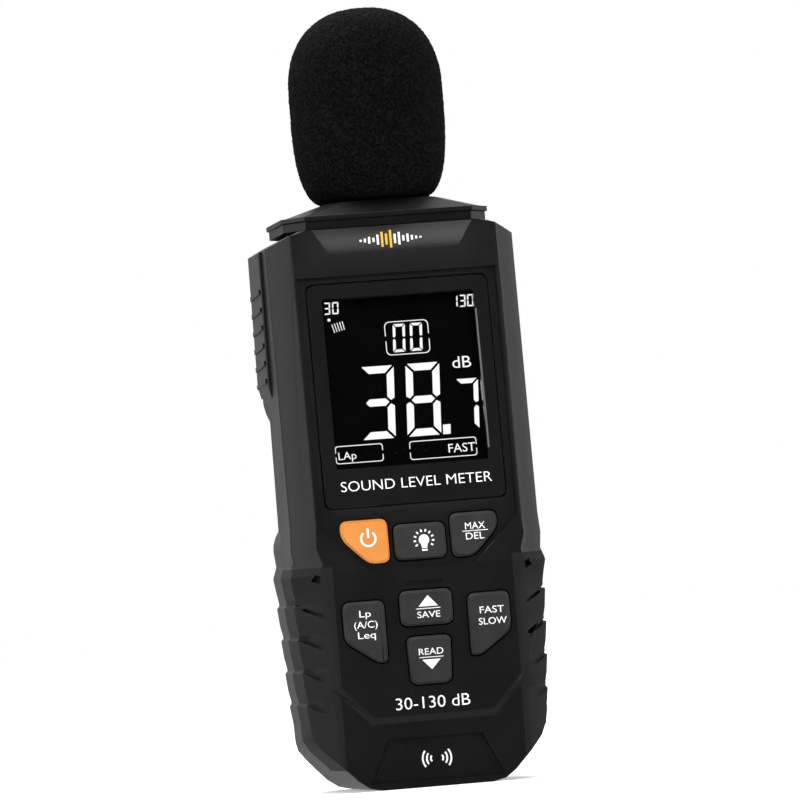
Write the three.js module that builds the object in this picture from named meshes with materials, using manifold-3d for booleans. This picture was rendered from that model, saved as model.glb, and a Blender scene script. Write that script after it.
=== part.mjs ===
// Hand-held sound level meter with a pull-off foam windscreen.
//
// Millimetres, +Z up. The meter stands upright with its keys facing -Y. Every piece is modelled with
// y as the depth behind the keypad face, and the whole group is then moved so that the origin lies
// under the middle of the bounding box.

import * as THREE from 'three';
import { mergeVertices } from 'three/addons/utils/BufferGeometryUtils.js';
import Module from 'manifold-3d';

const wasm = await Module();
wasm.setup();

// ---------------------------------------------------------------- driving dimensions
const gap = 0.3;                  // clearance between pieces that touch
const wall = 2.2;                 // side and back walls of the shells
const frontWall = 3.2;            // front wall, which carries the lens and the keys

const bodyTop = 134.2;            // top of the shells at the front face
const topWall = 2;
const bodyDepth = 36;             // keypad face to back face
const bodyHalf = 30.4;            // half-width over the side faces
const sideChamfer = 5.25;         // how far the face edges stand in from the sides
const faceHalf = bodyHalf - sideChamfer;      // half-width of the tilted upper face
const partDepth = 18.5;           // parting plane of the two shells
const sideEnd = 29;               // where the side faces turn into the back corners
const sideDraft = 0.9;            // how far the side faces draw in over that depth
const topSlope = THREE.MathUtils.degToRad(3.2);    // cap and shoulders fall towards the back

const bendZ = 52;                 // height where the face starts to tilt back
const faceTilt = THREE.MathUtils.degToRad(3.4);
const chamferDrop = 4.6;          // depth of the long front chamfers

const cornerZ = 12.6;             // bottom corner chamfers
const cornerHalf = 13.4;          // half-width of the flat bottom

const gripTop = 54.8;             // first notch of the lower grip
const firstTooth = 9.4;
const toothPitch = 7.85;
const toothCount = 4;
const toothStep = 0.95;           // how far a tooth draws in before the next one
const gripSwell = 0.8;            // how far the first tooth stands outside the side faces
const gripTaper = 0.38;           // how far each tooth stands inside the one above
const grooveDeep = 0.7;           // grooves across the front chamfers

const waistDeep = 3.1;            // how far the rear shell draws in at the waist
const waistLow = 63.4;
const waistHigh = 89.9;
const waistRun = 6;               // height of the slopes above and below the waist
const waistHalf = bodyHalf - waistDeep;

const padLow = 95.4;              // ladder grips on the upper sides
const padHigh = 131.6;
const padFront = 14.8;
const padBack = 29.6;
const padProud = 0.6;
const padRibs = 6;
const ribProud = 0.35;            // ribs above the pads
const ribHigh = 1.1;
const ribsEnd = 126;              // the pads are smooth above this

const chinLow = 1.6;              // recess at the bottom of the front
const chinLowHalf = 16.5;
const chinHigh = 12;
const chinHighHalf = 11.6;
const chinDeep = 0.6;
const crestLow = 128.3;           // recess at the top of the front
const crestLowHalf = 15.9;
const crestTopHalf = 21.6;
const crestDeep = 0.8;

const panelInset = 1.65;          // how far the keypad plateau stands in from the face edges
const panelHalf = faceHalf - panelInset;
const panelTop = 52.5;
const panelShoulder = 26;
const panelBottom = 17.4;
const panelBottomHalf = 14.4;
const panelBevel = 1.7;
const panelProud = 0.9;

const pocketHalf = 24.2;          // display pocket, with a pointed lower end
const pocketTop = 122.9;
const pocketShoulder = 63;
const pocketBottom = 52.4;
const pocketBottomHalf = 12.9;
const pocketDeep = 0.8;

const lensHalf = 22.4;            // display window
const lensLow = 67.4;
const lensHigh = 121.4;
const lensThick = 1.3;
const lensProud = 0.2;
const lensCorner = 2;
const viewHalf = 19;              // hole behind the window
const viewLow = 74;
const viewHigh = 117.4;

const lcdHalf = 20;               // liquid crystal glass and what backs it
const lcdLow = 71.6;
const lcdHigh = 118.6;
const lcdThick = 1.8;
const lightThick = 2.0;
const frameRim = 1.6;

const keyProud = 0.9;             // keys above the face around them
const keyPlay = 0.35;             // gap around each key
const keyTravel = 0.7;
const flangeWide = 0.5;
const flangeThick = 0.9;
const domeRadius = 3;
const domeHigh = 0.5;
const keyBoardDepth = 7.4;
const boardThick = 1.2;
const mainBoardDepth = 15.4;
const chipThick = 1.4;
const chipHigh = 113;             // amplifier chip, where the microphone lead ends
const leadRadius = 0.6;
const stopX = 21.4;               // board stops and screws
const stopHalf = 1.3;
const stopZ = 67.8;               // height of the main board's stops
const keyStopLow = 20;            // stops of the key board
const keyStopHigh = 23;
const boardScrewRadius = 0.6;

const micDepth = 22;              // axis of the microphone
const tubeRadius = 6.6;
const tubeTop = 158;
const boreWall = 1.1;
const capsuleHigh = 7;
const gridHigh = 3.4;

const lipSide = 0.25;             // how far the roof lip reaches past the face edges
const capHalf = faceHalf + lipSide;
const capFront = 7.3;
const capBehind = 5.4;            // the cap reaches this far behind the microphone tube
const capBack = micDepth + tubeRadius + capBehind;
const capCorner = 4.8;
const lipThick = 1.2;
const lipOver = 0.5;
const neckHigh = 2.1;
const roofRise = 3.2;
const roofTopHalf = 13.6;

const foamRadius = 19;            // windscreen
const foamHigh = 46.6;
const foamFoot = 11;              // radius of its flat underside
const foamBoreDeep = 31;
const foamBelly = 22;             // height of its widest stretch
const foamBand = 4;               // length of that stretch

const cellRadius = 5.25;          // three AAA cells
const cellLong = 44.5;
const cellPlay = 0.6;             // room between neighbouring cells and round them
const cellSpace = 2 * cellRadius + cellPlay;
const cellBottom = 12.4;
const tubHalf = cellSpace + cellRadius + cellPlay;
const doorOver = 0.85;            // how far the door covers the rim of the battery tub
const doorHalf = tubHalf + doorOver;
const doorLow = 6;
const doorHigh = 62;
const doorThick = 1.9;
const tubWall = 1.3;
const tubEnd = 2.4;               // room past the door seat's ends
const hookX = 10;                 // hooks of the door
const hookHalf = 2.4;
const notchRadius = 5.5;          // finger notch above the door
const contactDeep = 8;            // battery contact strips
const contactThick = 0.5;

const insertZ = 77;               // brass tripod insert
const insertRadius = 4.8;
const insertBore = 3.1;
const insertLong = 9;

const screwTopInset = 10.8;       // case screws, in from the sides
const screwTopX = bodyHalf - screwTopInset;
const screwTopZ = 124.6;
const screwLowInset = 8.4;
const screwLowX = bodyHalf - screwLowInset;
const screwLowZ = 12.4;
const postRadius = 3;
const screwRadius = 1.3;
const headRadius = 2.7;
const headHigh = 1.8;
const headDeep = 3.2;             // how far the heads lie below the back face
const screwBite = 8;              // how far the screws reach into the front posts

const round = 24;                 // sides of round solids
const beyond = 10;                // how far a cutter reaches past what it cuts
const reach = 80;                 // half-size of the blocks that trim a whole side away

// ---------------------------------------------------------------- solids
function toSolid(geometry) {
  const bare = geometry.index ? geometry.clone() : geometry;
  bare.deleteAttribute('normal');
  bare.deleteAttribute('uv');
  const merged = mergeVertices(bare, 1e-5);
  return new wasm.Manifold(new wasm.Mesh({
    numProp: 3,
    vertProperties: new Float32Array(merged.attributes.position.array),
    triVerts: new Uint32Array(merged.index.array),
  }));
}

function toGeometry(solid) {
  const raw = solid.getMesh();
  const geometry = new THREE.BufferGeometry();
  geometry.setAttribute('position', new THREE.BufferAttribute(new Float32Array(raw.vertProperties), 3));
  geometry.setIndex(new THREE.BufferAttribute(new Uint32Array(raw.triVerts), 1));
  return geometry;
}

function cap2d(ring, u, v, wantPositive) {
  const flat = ring.map((p) => new THREE.Vector2(p[u], p[v]));
  return THREE.ShapeUtils.triangulateShape(flat, []).map(([a, b, c]) => {
    const area = (flat[b].x - flat[a].x) * (flat[c].y - flat[a].y)
      - (flat[c].x - flat[a].x) * (flat[b].y - flat[a].y);
    return (area > 0) === wantPositive ? [a, b, c] : [a, c, b];
  });
}

// A closed skin over rings of equal point counts, which run counter-clockwise seen along the stack.
function skin(rings, u = 0, v = 1) {
  const count = rings[0].length;
  const faces = [];
  for (let r = 0; r + 1 < rings.length; r += 1) {
    for (let i = 0; i < count; i += 1) {
      const a = r * count + i;
      const b = r * count + ((i + 1) % count);
      faces.push([a, b, b + count], [a, b + count, a + count]);
    }
  }
  const last = (rings.length - 1) * count;
  faces.push(...cap2d(rings[0], u, v, false));
  faces.push(...cap2d(rings[rings.length - 1], u, v, true).map((f) => f.map((i) => i + last)));
  const geometry = new THREE.BufferGeometry();
  geometry.setAttribute('position', new THREE.Float32BufferAttribute(rings.flat(2), 3));
  geometry.setIndex(faces.flat());
  return toSolid(geometry);
}

function box(x0, x1, y0, y1, z0, z1) {
  const geometry = new THREE.BoxGeometry(x1 - x0, y1 - y0, z1 - z0);
  geometry.translate((x0 + x1) / 2, (y0 + y1) / 2, (z0 + z1) / 2);
  return toSolid(geometry);
}

// An outline of [x, z] points, carried from depth y0 to y1.
function slab(points, y0, y1) {
  const shape = points instanceof THREE.Shape
    ? points
    : new THREE.Shape(points.map(([x, z]) => new THREE.Vector2(x, z)));
  const geometry = new THREE.ExtrudeGeometry(shape, {
    depth: y1 - y0, bevelEnabled: false, curveSegments: 5,
  });
  geometry.rotateX(Math.PI / 2);
  geometry.translate(0, y1, 0);
  return toSolid(geometry);
}

// A cylinder along y, from depth y0 to y1.
function rod(x, z, radius, y0, y1, sides = round) {
  const geometry = new THREE.CylinderGeometry(radius, radius, y1 - y0, sides);
  geometry.translate(x, (y0 + y1) / 2, z);
  return toSolid(geometry);
}

// A turned piece about a vertical axis through (x, y); the profile is a list of [radius, z].
function turned(profile, x, y, sides = round) {
  const points = profile.map(([r, z]) => new THREE.Vector2(r, z));
  const geometry = new THREE.LatheGeometry(points, sides);
  geometry.rotateX(Math.PI / 2);
  geometry.translate(x, y, 0);
  return toSolid(orient(geometry));
}

// A turned piece about an axis along y through (x, z); the profile is a list of [radius, depth].
function turnedDeep(profile, x, z, sides = round) {
  const points = profile.map(([r, d]) => new THREE.Vector2(r, d));
  const geometry = new THREE.LatheGeometry(points, sides);
  geometry.translate(x, 0, z);
  return toSolid(orient(geometry));
}

// Turns a closed geometry's faces outwards if its signed volume is negative.
function orient(geometry) {
  geometry.deleteAttribute('normal');
  geometry.deleteAttribute('uv');
  const merged = mergeVertices(geometry, 1e-5);
  const index = merged.index.array;
  const kept = [];
  for (let i = 0; i < index.length; i += 3) {
    const [a, b, c] = [index[i], index[i + 1], index[i + 2]];
    if (a !== b && b !== c && c !== a) kept.push(a, b, c);
  }
  const at = (i) => new THREE.Vector3().fromBufferAttribute(merged.attributes.position, i);
  let volume = 0;
  for (let i = 0; i < kept.length; i += 3) {
    volume += at(kept[i]).dot(at(kept[i + 1]).cross(at(kept[i + 2])));
  }
  if (volume < 0) {
    for (let i = 0; i < kept.length; i += 3) {
      [kept[i + 1], kept[i + 2]] = [kept[i + 2], kept[i + 1]];
    }
  }
  merged.setIndex(kept);
  return merged;
}

// Leans a solid back above the bend, as the upper face does.
const lean = Math.tan(faceTilt);
function leaned(solid) {
  return solid.warp((p) => {
    p[1] += Math.max(0, p[2] - bendZ) * lean;
  });
}

// Lets the upper end of a solid fall towards the back, as the cap does.
function sloped(solid) {
  return solid.warp((p) => {
    if (p[2] > bendZ) p[2] -= (p[1] - capFront) * Math.tan(topSlope);
  });
}

function mirrored(solid) {
  return solid.mirror([1, 0, 0]);
}

function both(solid) {
  return solid.add(mirrored(solid));
}

function symmetric(half) {
  return [...half, ...half.map(([x, z]) => [-x, z]).reverse()];
}

function roundedOutline(points, radius) {
  const shape = new THREE.Shape();
  const count = points.length;
  points.forEach((point, i) => {
    const here = new THREE.Vector2(...point);
    const before = new THREE.Vector2(...points[(i + count - 1) % count]);
    const after = new THREE.Vector2(...points[(i + 1) % count]);
    const cut = Math.min(radius, here.distanceTo(before) / 2.2, here.distanceTo(after) / 2.2);
    const start = here.clone().add(before.sub(here).setLength(cut));
    const end = here.clone().add(after.sub(here).setLength(cut));
    if (i === 0) shape.moveTo(start.x, start.y);
    else shape.lineTo(start.x, start.y);
    shape.quadraticCurveTo(here.x, here.y, end.x, end.y);
  });
  shape.closePath();
  return shape;
}

// Heights that follow from the driving dimensions.
const neckLow = bodyTop + gap;
const lipLow = neckLow + neckHigh;
const lipTop = lipLow + lipThick;
const roofTop = lipTop + roofRise;
const spigotHigh = 2.4;
const spigotInset = 3;

// ---------------------------------------------------------------- body form
const notchHeights = [gripTop];
for (let i = 0; i < toothCount; i += 1) {
  notchHeights.push(gripTop - firstTooth - i * toothPitch);
}

// The heights at which the body's cross-section is set, each with how far the side draws in there.
function sideLevels() {
  const levels = [[-1, 1.6], [cornerZ, 1.5]];
  const low = notchHeights[toothCount];
  levels.push([low - 0.6 * toothPitch, 1.3], [low - 0.5, 0.7]);
  for (let i = toothCount - 1; i >= 0; i -= 1) {
    const bottom = notchHeights[i + 1];
    const top = notchHeights[i];
    const taper = gripTaper * i - gripSwell;
    levels.push([bottom, taper + toothStep]);
    levels.push([bottom + 0.12 * (top - bottom), taper + toothStep * 0.85]);
    levels.push([bottom + 0.4 * (top - bottom), taper + toothStep * 0.35]);
    levels.push([i === 0 ? top - 2.8 : top - 0.5, taper - 0.1]);
  }
  levels.push([gripTop, 0.1], [gripTop + 3.7, -0.3], [waistLow, 0], [bodyTop + 8, 0]);
  return levels;
}

function tiltDepth(z) {
  return Math.max(0, z - bendZ) * lean;
}

function faceDepth(z) {
  return z <= panelTop - 2.5 ? panelProud : tiltDepth(z);
}

function bodyRing(z, drawn, inset, frontInset) {
  const upper = z > gripTop + 3;
  const face = (upper ? faceHalf : panelHalf + 0.8) - Math.min(drawn, 1) * 0.8;
  const front = frontInset ? tiltDepth(z) + frontInset : faceDepth(z);
  const side = bodyHalf - drawn - inset;
  const drop = faceDepth(z) + chamferDrop;
  const back = bodyDepth - inset;
  const edge = face - inset * 0.5;
  const half = [
    [edge, front],
    [(edge + side) / 2 + 0.35, (front + drop) / 2 + (frontInset ? 0.8 : -0.25)],
    [side, Math.max(drop, front + 0.5)],
    [side - sideDraft, sideEnd],
    [side - sideDraft - 1.2, sideEnd + 3.4],
    [side - 4.8, back - 0.8],
    [side - 8.4, back],
  ];
  return symmetric(half).map(([x, y]) => [x, y, z]);
}

function frontOutline() {
  return symmetric([
    [cornerHalf, 0],
    [cornerHalf + 3.2, 0.7],
    [cornerHalf + 6, 2.6],
    [bodyHalf - 3.6, cornerZ - 2.4],
    [bodyHalf - 1.9, cornerZ + 0.4],
    [bodyHalf - 1.2, cornerZ + 3.8],
    [bodyHalf + 3, cornerZ + 12],
    [bodyHalf + 3, bodyTop - 4.6],
    [bodyHalf - 0.2, bodyTop - 3.4],
    [faceHalf + 0.2, bodyTop - 1],
    [faceHalf - 3, bodyTop],
  ]);
}

function ladderPad() {
  const x0 = bodyHalf - 2;
  const ring = (x1, z) => [
    [x0, padFront, z], [x1, padFront, z], [x1 - sideDraft * 0.6, padBack, z], [x0, padBack, z],
  ];
  const skinHalf = bodyHalf - 0.1;
  let pad = skin([
    ring(skinHalf, padLow), ring(bodyHalf + padProud, padLow + 3),
    ring(bodyHalf + padProud, padHigh - 2.5), ring(skinHalf, padHigh),
  ]);
  const pitch = (ribsEnd - padLow - 5) / padRibs;
  for (let i = 0; i < padRibs; i += 1) {
    const z = padLow + 3.6 + i * pitch;
    const bar = box(x0, bodyHalf + padProud + ribProud, padFront + 1, padBack - 1, z, z + ribHigh);
    pad = pad.add(bar.warp((p) => {
      p[2] -= (p[1] - padFront) * 0.1;
      if (p[0] > bodyHalf && p[1] > partDepth) p[0] -= sideDraft * 0.6;
    }));
  }
  return pad;
}

function outerForm() {
  const rings = sideLevels().map(([z, drawn]) => bodyRing(z, drawn, 0, 0));
  const loft = skin(rings);
  const outline = sloped(slab(frontOutline(), -beyond, bodyDepth + beyond));
  const shaped = loft.add(both(ladderPad())).intersect(outline);
  const lid = sloped(box(-reach, reach, -beyond, reach, bodyTop, bodyTop + reach));
  return shaped.subtract(lid);
}

// The hollow follows the body inside its walls; the cap's spigot drops through the hole in its top.
function innerForm() {
  const levels = [
    [wall + 0.4, 6.5], [cornerZ + 2, 1.5], [bendZ, 1.5], [waistLow - waistRun, 1.5],
    [waistLow - 1, bodyHalf - waistHalf], [waistHigh + 1, bodyHalf - waistHalf],
    [waistHigh + waistRun + 1, 0.3], [bodyTop - 6.4, 0.6], [bodyTop - 3.6, 4.2], [bodyTop + 5, 4.2],
  ];
  const within = sloped(slab(grown(frontOutline(), -wall), -beyond, bodyDepth + beyond));
  const room = skin(levels.map(([z, drawn]) => bodyRing(z, drawn, wall, frontWall))).intersect(within);
  const roofBlock = sloped(box(-reach, reach, -beyond, reach, bodyTop - topWall, bodyTop + reach));
  const hatch = capOutline(spigotInset - gap);
  return room.subtract(roofBlock).add(skin([level(hatch, bodyTop - 6), level(hatch, bodyTop + 5)]));
}

function panelPlateau() {
  const foot = symmetric([
    [panelBottomHalf + panelBevel * 0.5, panelBottom - panelBevel],
    [panelHalf - 0.9 + panelBevel, panelShoulder - panelBevel * 0.6],
    [panelHalf + panelBevel, panelTop - 2],
    [panelHalf, panelTop + 2],
  ]);
  const top = symmetric([
    [panelBottomHalf, panelBottom],
    [panelHalf - 0.9, panelShoulder],
    [panelHalf, panelTop - 4],
    [panelHalf - 1, panelTop],
  ]);
  const ring = (outline, y) => outline.map(([x, z]) => [x, y, z]);
  return skin([ring(foot, panelProud + 1), ring(foot, panelProud), ring(top, 0)], 0, 2);
}

// ---------------------------------------------------------------- key outlines, as [x, z]
const slantKey = (inner, outer, top, low, cutX, cutZ) => [
  [inner, top], [outer, top], [outer, cutZ], [cutX, low], [inner, low],
];
const mirrorKey = (points) => points.map(([x, z]) => [-x, z]);
const responseOutline = slantKey(10.2, 20.4, 45.2, 30.4, 12.6, 35.8);
const maxOutline = slantKey(7.65, 19.2, 64.5, 54.0, 12.9, 60.3);
const keys = [
  { name: 'key_power', points: mirrorKey(maxOutline), dome: [-12.6, 59.6], upper: true },
  { name: 'key_light', points: [[-6.3, 54.2], [6.3, 54.2], [6.3, 62.8], [-6.3, 62.8]],
    dome: [0, 58.5], upper: true },
  { name: 'key_max', points: maxOutline, dome: [12.6, 59.6], upper: true },
  { name: 'key_mode', points: mirrorKey(responseOutline), dome: [-14.8, 39.4] },
  { name: 'key_up_save', points: [[-6.4, 38.5], [6.4, 38.5], [6.4, 46.9], [-6.4, 46.9]],
    dome: [0, 42.6] },
  { name: 'key_response', points: responseOutline, dome: [14.8, 39.4] },
  { name: 'key_down_read', points: [[-5.0, 24.5], [5.0, 24.5], [5.5, 35.9], [-5.5, 35.9]],
    dome: [0, 30.2] },
];
const keyCorner = 1.9;
const keyBack = keyBoardDepth - gap - domeHigh - gap - keyTravel;

function grown(points, by) {
  const middle = [0, 1].map((k) => points.reduce((sum, p) => sum + p[k], 0) / points.length);
  const count = points.length;
  return points.map((p, i) => {
    const a = points[(i + count - 1) % count];
    const b = points[(i + 1) % count];
    const normal = (q, r) => {
      const n = new THREE.Vector2(r[1] - q[1], q[0] - r[0]).normalize();
      const out = new THREE.Vector2((q[0] + r[0]) / 2 - middle[0], (q[1] + r[1]) / 2 - middle[1]);
      return n.dot(out) < 0 ? n.negate() : n;
    };
    const n1 = normal(a, p);
    const n2 = normal(p, b);
    const mitre = n1.clone().add(n2);
    mitre.multiplyScalar(by / (1 + n1.dot(n2)));
    return [p[0] + mitre.x, p[1] + mitre.y];
  });
}

function keySeat(key) {
  return key.upper ? pocketDeep : 0;
}

function keySolid(key) {
  const seat = keySeat(key);
  const top = seat - keyProud;
  const head = roundedOutline(key.points, keyCorner);
  const crown = roundedOutline(grown(key.points, -0.35), keyCorner);
  const flange = roundedOutline(grown(key.points, flangeWide), keyCorner);
  const flangeFront = frontWall + gap;
  const shaped = leaned(slab(crown, top, top + 0.45)
    .add(slab(head, top + 0.4, flangeFront + 0.1))
    .add(slab(flange, flangeFront, flangeFront + flangeThick)));
  return shaped.add(rod(...key.dome, domeRadius - 0.6, flangeFront + flangeThick - 0.3, keyBack, 16));
}

function keyHole(key) {
  return leaned(slab(roundedOutline(grown(key.points, keyPlay), keyCorner + keyPlay), -3, frontWall + 3));
}

// ---------------------------------------------------------------- shells
const screws = [
  [-screwTopX, screwTopZ], [screwTopX, screwTopZ], [-screwLowX, screwLowZ], [screwLowX, screwLowZ],
];

function pocketOutline(extra = 0) {
  return symmetric([
    [pocketBottomHalf + extra, pocketBottom - extra],
    [pocketHalf + extra, pocketShoulder - extra * 0.5],
    [pocketHalf + 0.15 + extra, pocketTop + extra],
  ]);
}

function diagonalGroove(z, wide, deep) {
  const from = new THREE.Vector3(bodyHalf + 0.6, chamferDrop + 2.4, z + 0.5);
  const to = new THREE.Vector3(panelHalf + 1.6, 0.5, z - 3.2);
  const run = to.clone().sub(from);
  const geometry = new THREE.BoxGeometry(deep * 2, run.length(), wide);
  const along = run.clone().normalize();
  const out = new THREE.Vector3(0.68, -0.73, 0);
  out.sub(along.clone().multiplyScalar(out.dot(along))).normalize();
  const across = new THREE.Vector3().crossVectors(out, along);
  geometry.applyMatrix4(new THREE.Matrix4().makeBasis(out, along, across));
  const middle = from.add(to).multiplyScalar(0.5);
  geometry.translate(middle.x, middle.y, middle.z);
  return toSolid(geometry);
}

function frontShell(outer, inner) {
  let shell = outer.add(panelPlateau()).subtract(inner);
  shell = shell.intersect(box(-reach, reach, -beyond, partDepth - gap / 2, -beyond, 3 * reach));
  // chin and top recesses
  const chin = symmetric([[chinLowHalf, chinLow], [chinHighHalf, chinHigh]]);
  shell = shell.subtract(slab(chin, -beyond, panelProud + chinDeep));
  const crest = symmetric([[crestLowHalf, crestLow], [crestTopHalf, bodyTop + 3]]);
  shell = shell.subtract(leaned(slab(crest, -beyond, crestDeep)));
  // display pocket, window seat and view hole
  shell = shell.subtract(leaned(slab(pocketOutline(), -beyond, pocketDeep)));
  const seat = roundedOutline([[-lensHalf, lensLow], [lensHalf, lensLow], [lensHalf, lensHigh],
    [-lensHalf, lensHigh]], lensCorner);
  const seatFloor = pocketDeep - lensProud + lensThick + gap;
  shell = shell.subtract(leaned(slab(seat, -beyond, seatFloor)));
  const view = [[-viewHalf, viewLow], [viewHalf, viewLow], [viewHalf, viewHigh], [-viewHalf, viewHigh]];
  shell = shell.subtract(leaned(slab(view, -beyond, frontWall + 3)));
  for (const key of keys) shell = shell.subtract(keyHole(key));
  // grooves of the grip, which cross the front chamfers
  shell = shell.subtract(both(diagonalGroove(gripTop - 0.6, 1.9, grooveDeep)));
  for (let i = 1; i <= toothCount; i += 1) {
    shell = shell.subtract(both(diagonalGroove(notchHeights[i], 0.8, grooveDeep)));
  }
  // screw posts, run into the front wall
  for (const [x, z] of screws) {
    const foot = tiltDepth(z) + frontWall - 0.6;
    shell = shell.add(rod(x, z, postRadius, foot, partDepth - gap / 2));
    shell = shell.subtract(rod(x, z, screwRadius + gap, foot + 2.4, partDepth + 1, 16));
  }
  // stops for the two boards
  for (const x of [-stopX, stopX]) {
    const [left, right] = [x - stopHalf, x + stopHalf];
    shell = shell.add(box(left, right, frontWall - 0.6, keyBoardDepth - gap, keyStopLow, keyStopHigh));
    const foot = tiltDepth(stopZ) + frontWall - 0.2;
    shell = shell.add(box(left, right, foot, mainBoardDepth - gap, stopZ - stopHalf, stopZ + stopHalf));
    shell = shell.subtract(rod(x, stopZ, boardScrewRadius + 0.2, mainBoardDepth - 5, mainBoardDepth, 12));
  }
  return shell;
}

const tubFloor = bodyDepth - doorThick - 2 * cellRadius - 2 * cellPlay;
const tubLow = doorLow + tubEnd;
const tubHigh = doorHigh - tubEnd;

function waistCut() {
  return both(slab([
    [waistHalf, waistLow], [bodyHalf + 4, waistLow - waistRun - 3], [bodyHalf + 4, waistHigh + waistRun + 2],
    [bodyHalf + 0.05, waistHigh + waistRun - 0.4], [waistHalf, waistHigh],
  ], partDepth - 5, bodyDepth + 5));
}

function rearShell(outer, inner) {
  let shell = outer.subtract(waistCut()).subtract(inner);
  shell = shell.intersect(box(-reach, reach, partDepth + gap / 2, reach, -beyond, 3 * reach));
  // battery tub, open to the back
  shell = shell.add(box(-tubHalf - tubWall, tubHalf + tubWall, tubFloor - tubWall, bodyDepth - 1,
    tubLow - tubWall, tubHigh + tubWall));
  shell = shell.subtract(box(-tubHalf, tubHalf, tubFloor, bodyDepth + 5, tubLow, tubHigh));
  // door seat with a ledge, hook slots and finger notch
  shell = shell.subtract(box(-doorHalf - gap, doorHalf + gap, bodyDepth - doorThick - gap, bodyDepth + 5,
    doorLow - gap, doorHigh + gap));
  for (const x of [-hookX, hookX]) {
    const [left, right] = [x - hookHalf - 2 * gap, x + hookHalf + 2 * gap];
    shell = shell.subtract(box(left, right, bodyDepth - doorThick - 2.6, bodyDepth - doorThick + 0.2,
      doorLow - 2.2, tubLow + 0.5));
  }
  shell = shell.subtract(rod(0, doorHigh + 1.2, notchRadius, bodyDepth - 1.1, bodyDepth + beyond));
  // tripod boss
  shell = shell.add(rod(0, insertZ, insertRadius + 2.4, bodyDepth - insertLong - 2, bodyDepth - 1));
  shell = shell.subtract(rod(0, insertZ, insertRadius + gap, bodyDepth - insertLong - gap, bodyDepth + 5));
  // screw tubes with counterbores
  for (const [x, z] of screws) {
    shell = shell.add(rod(x, z, postRadius + 0.5, partDepth + gap / 2, bodyDepth - 2.4));
    shell = shell.subtract(rod(x, z, screwRadius + gap, partDepth - 5, bodyDepth + 5, 16));
    shell = shell.subtract(rod(x, z, headRadius + gap, bodyDepth - headDeep - headHigh, bodyDepth + 5));
  }
  return shell;
}

// ---------------------------------------------------------------- cap, microphone and windscreen
function capOutline(inset) {
  const x = capHalf - inset;
  const y0 = capFront + inset;
  const y1 = capBack - inset;
  const cut = capCorner - inset * 0.4;
  return [
    [x - cut, y0], [x, y0 + cut], [x, y1 - cut], [x - cut, y1],
    [-x + cut, y1], [-x, y1 - cut], [-x, y0 + cut], [-x + cut, y0],
  ];
}

function level(outline, z) {
  return outline.map(([x, y]) => [x, y, z]);
}

function topCap() {
  const crown = [
    [roofTopHalf - 3, micDepth - 11], [roofTopHalf, micDepth - 8], [roofTopHalf, micDepth + 7],
    [roofTopHalf - 3, micDepth + 9.6],
    [-roofTopHalf + 3, micDepth + 9.6], [-roofTopHalf, micDepth + 7], [-roofTopHalf, micDepth - 8],
    [-roofTopHalf + 3, micDepth - 11],
  ];
  const neck = skin([level(capOutline(lipOver), neckLow), level(capOutline(lipOver), lipLow + 0.1)]);
  const lip = skin([level(capOutline(0), lipLow), level(capOutline(0), lipTop)]);
  const roof = skin([level(capOutline(0.6), lipTop - 0.1), level(crown, roofTop)]);
  const spigot = skin([
    level(capOutline(spigotInset), neckLow - spigotHigh), level(capOutline(spigotInset), neckLow + 0.2),
  ]);
  const hollow = skin([
    level(capOutline(spigotInset + 0.9), neckLow - 6), level(capOutline(spigotInset + 0.9), neckLow - 0.6),
  ]);
  return sloped(neck.add(lip).add(roof).add(spigot.subtract(hollow)))
    .subtract(turned([
      [0, bodyTop - reach], [tubeRadius + gap, bodyTop - reach], [tubeRadius + gap, bodyTop + reach],
      [0, bodyTop + reach],
    ], 0, micDepth));
}

// the gasket lies between the tube's flange and the underside of the cap
const gasketHigh = 1.8;
const flangeHigh = 1.5;
const gasketRadius = tubeRadius + 1.2;
const capFall = (micDepth + gasketRadius - capFront) * Math.tan(topSlope);
const gasketLow = neckLow - 0.6 - capFall - gap - gasketHigh;
const tubeLow = gasketLow - gap - flangeHigh;
const capsuleLow = tubeTop - 2;

function micTube() {
  const inner = tubeRadius - boreWall;
  return turned([
    [inner, tubeLow], [tubeRadius + 1.6, tubeLow], [tubeRadius + 1.6, tubeLow + flangeHigh],
    [tubeRadius, tubeLow + flangeHigh], [tubeRadius, tubeTop], [inner, tubeTop], [inner, tubeLow],
  ], 0, micDepth);
}

function micCapsule() {
  const inner = tubeRadius - boreWall - gap;
  return turned([
    [0, capsuleLow - 5], [inner, capsuleLow - 5], [inner, tubeTop + gap], [tubeRadius - 0.25, tubeTop + gap],
    [tubeRadius - 0.25, tubeTop + capsuleHigh - gap], [0, tubeTop + capsuleHigh - gap],
  ], 0, micDepth);
}

function micGrid() {
  const low = tubeTop + capsuleHigh;
  return turned([
    [0, low], [tubeRadius - 0.25, low], [tubeRadius - 0.25, low + gridHigh - 0.8],
    [tubeRadius - 1, low + gridHigh], [0, low + gridHigh],
  ], 0, micDepth);
}

function micGasket() {
  const high = gasketLow + gasketHigh;
  return turned([
    [tubeRadius + gap, gasketLow], [gasketRadius, gasketLow], [gasketRadius, high],
    [tubeRadius + gap, high], [tubeRadius + gap, gasketLow],
  ], 0, micDepth);
}

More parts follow.
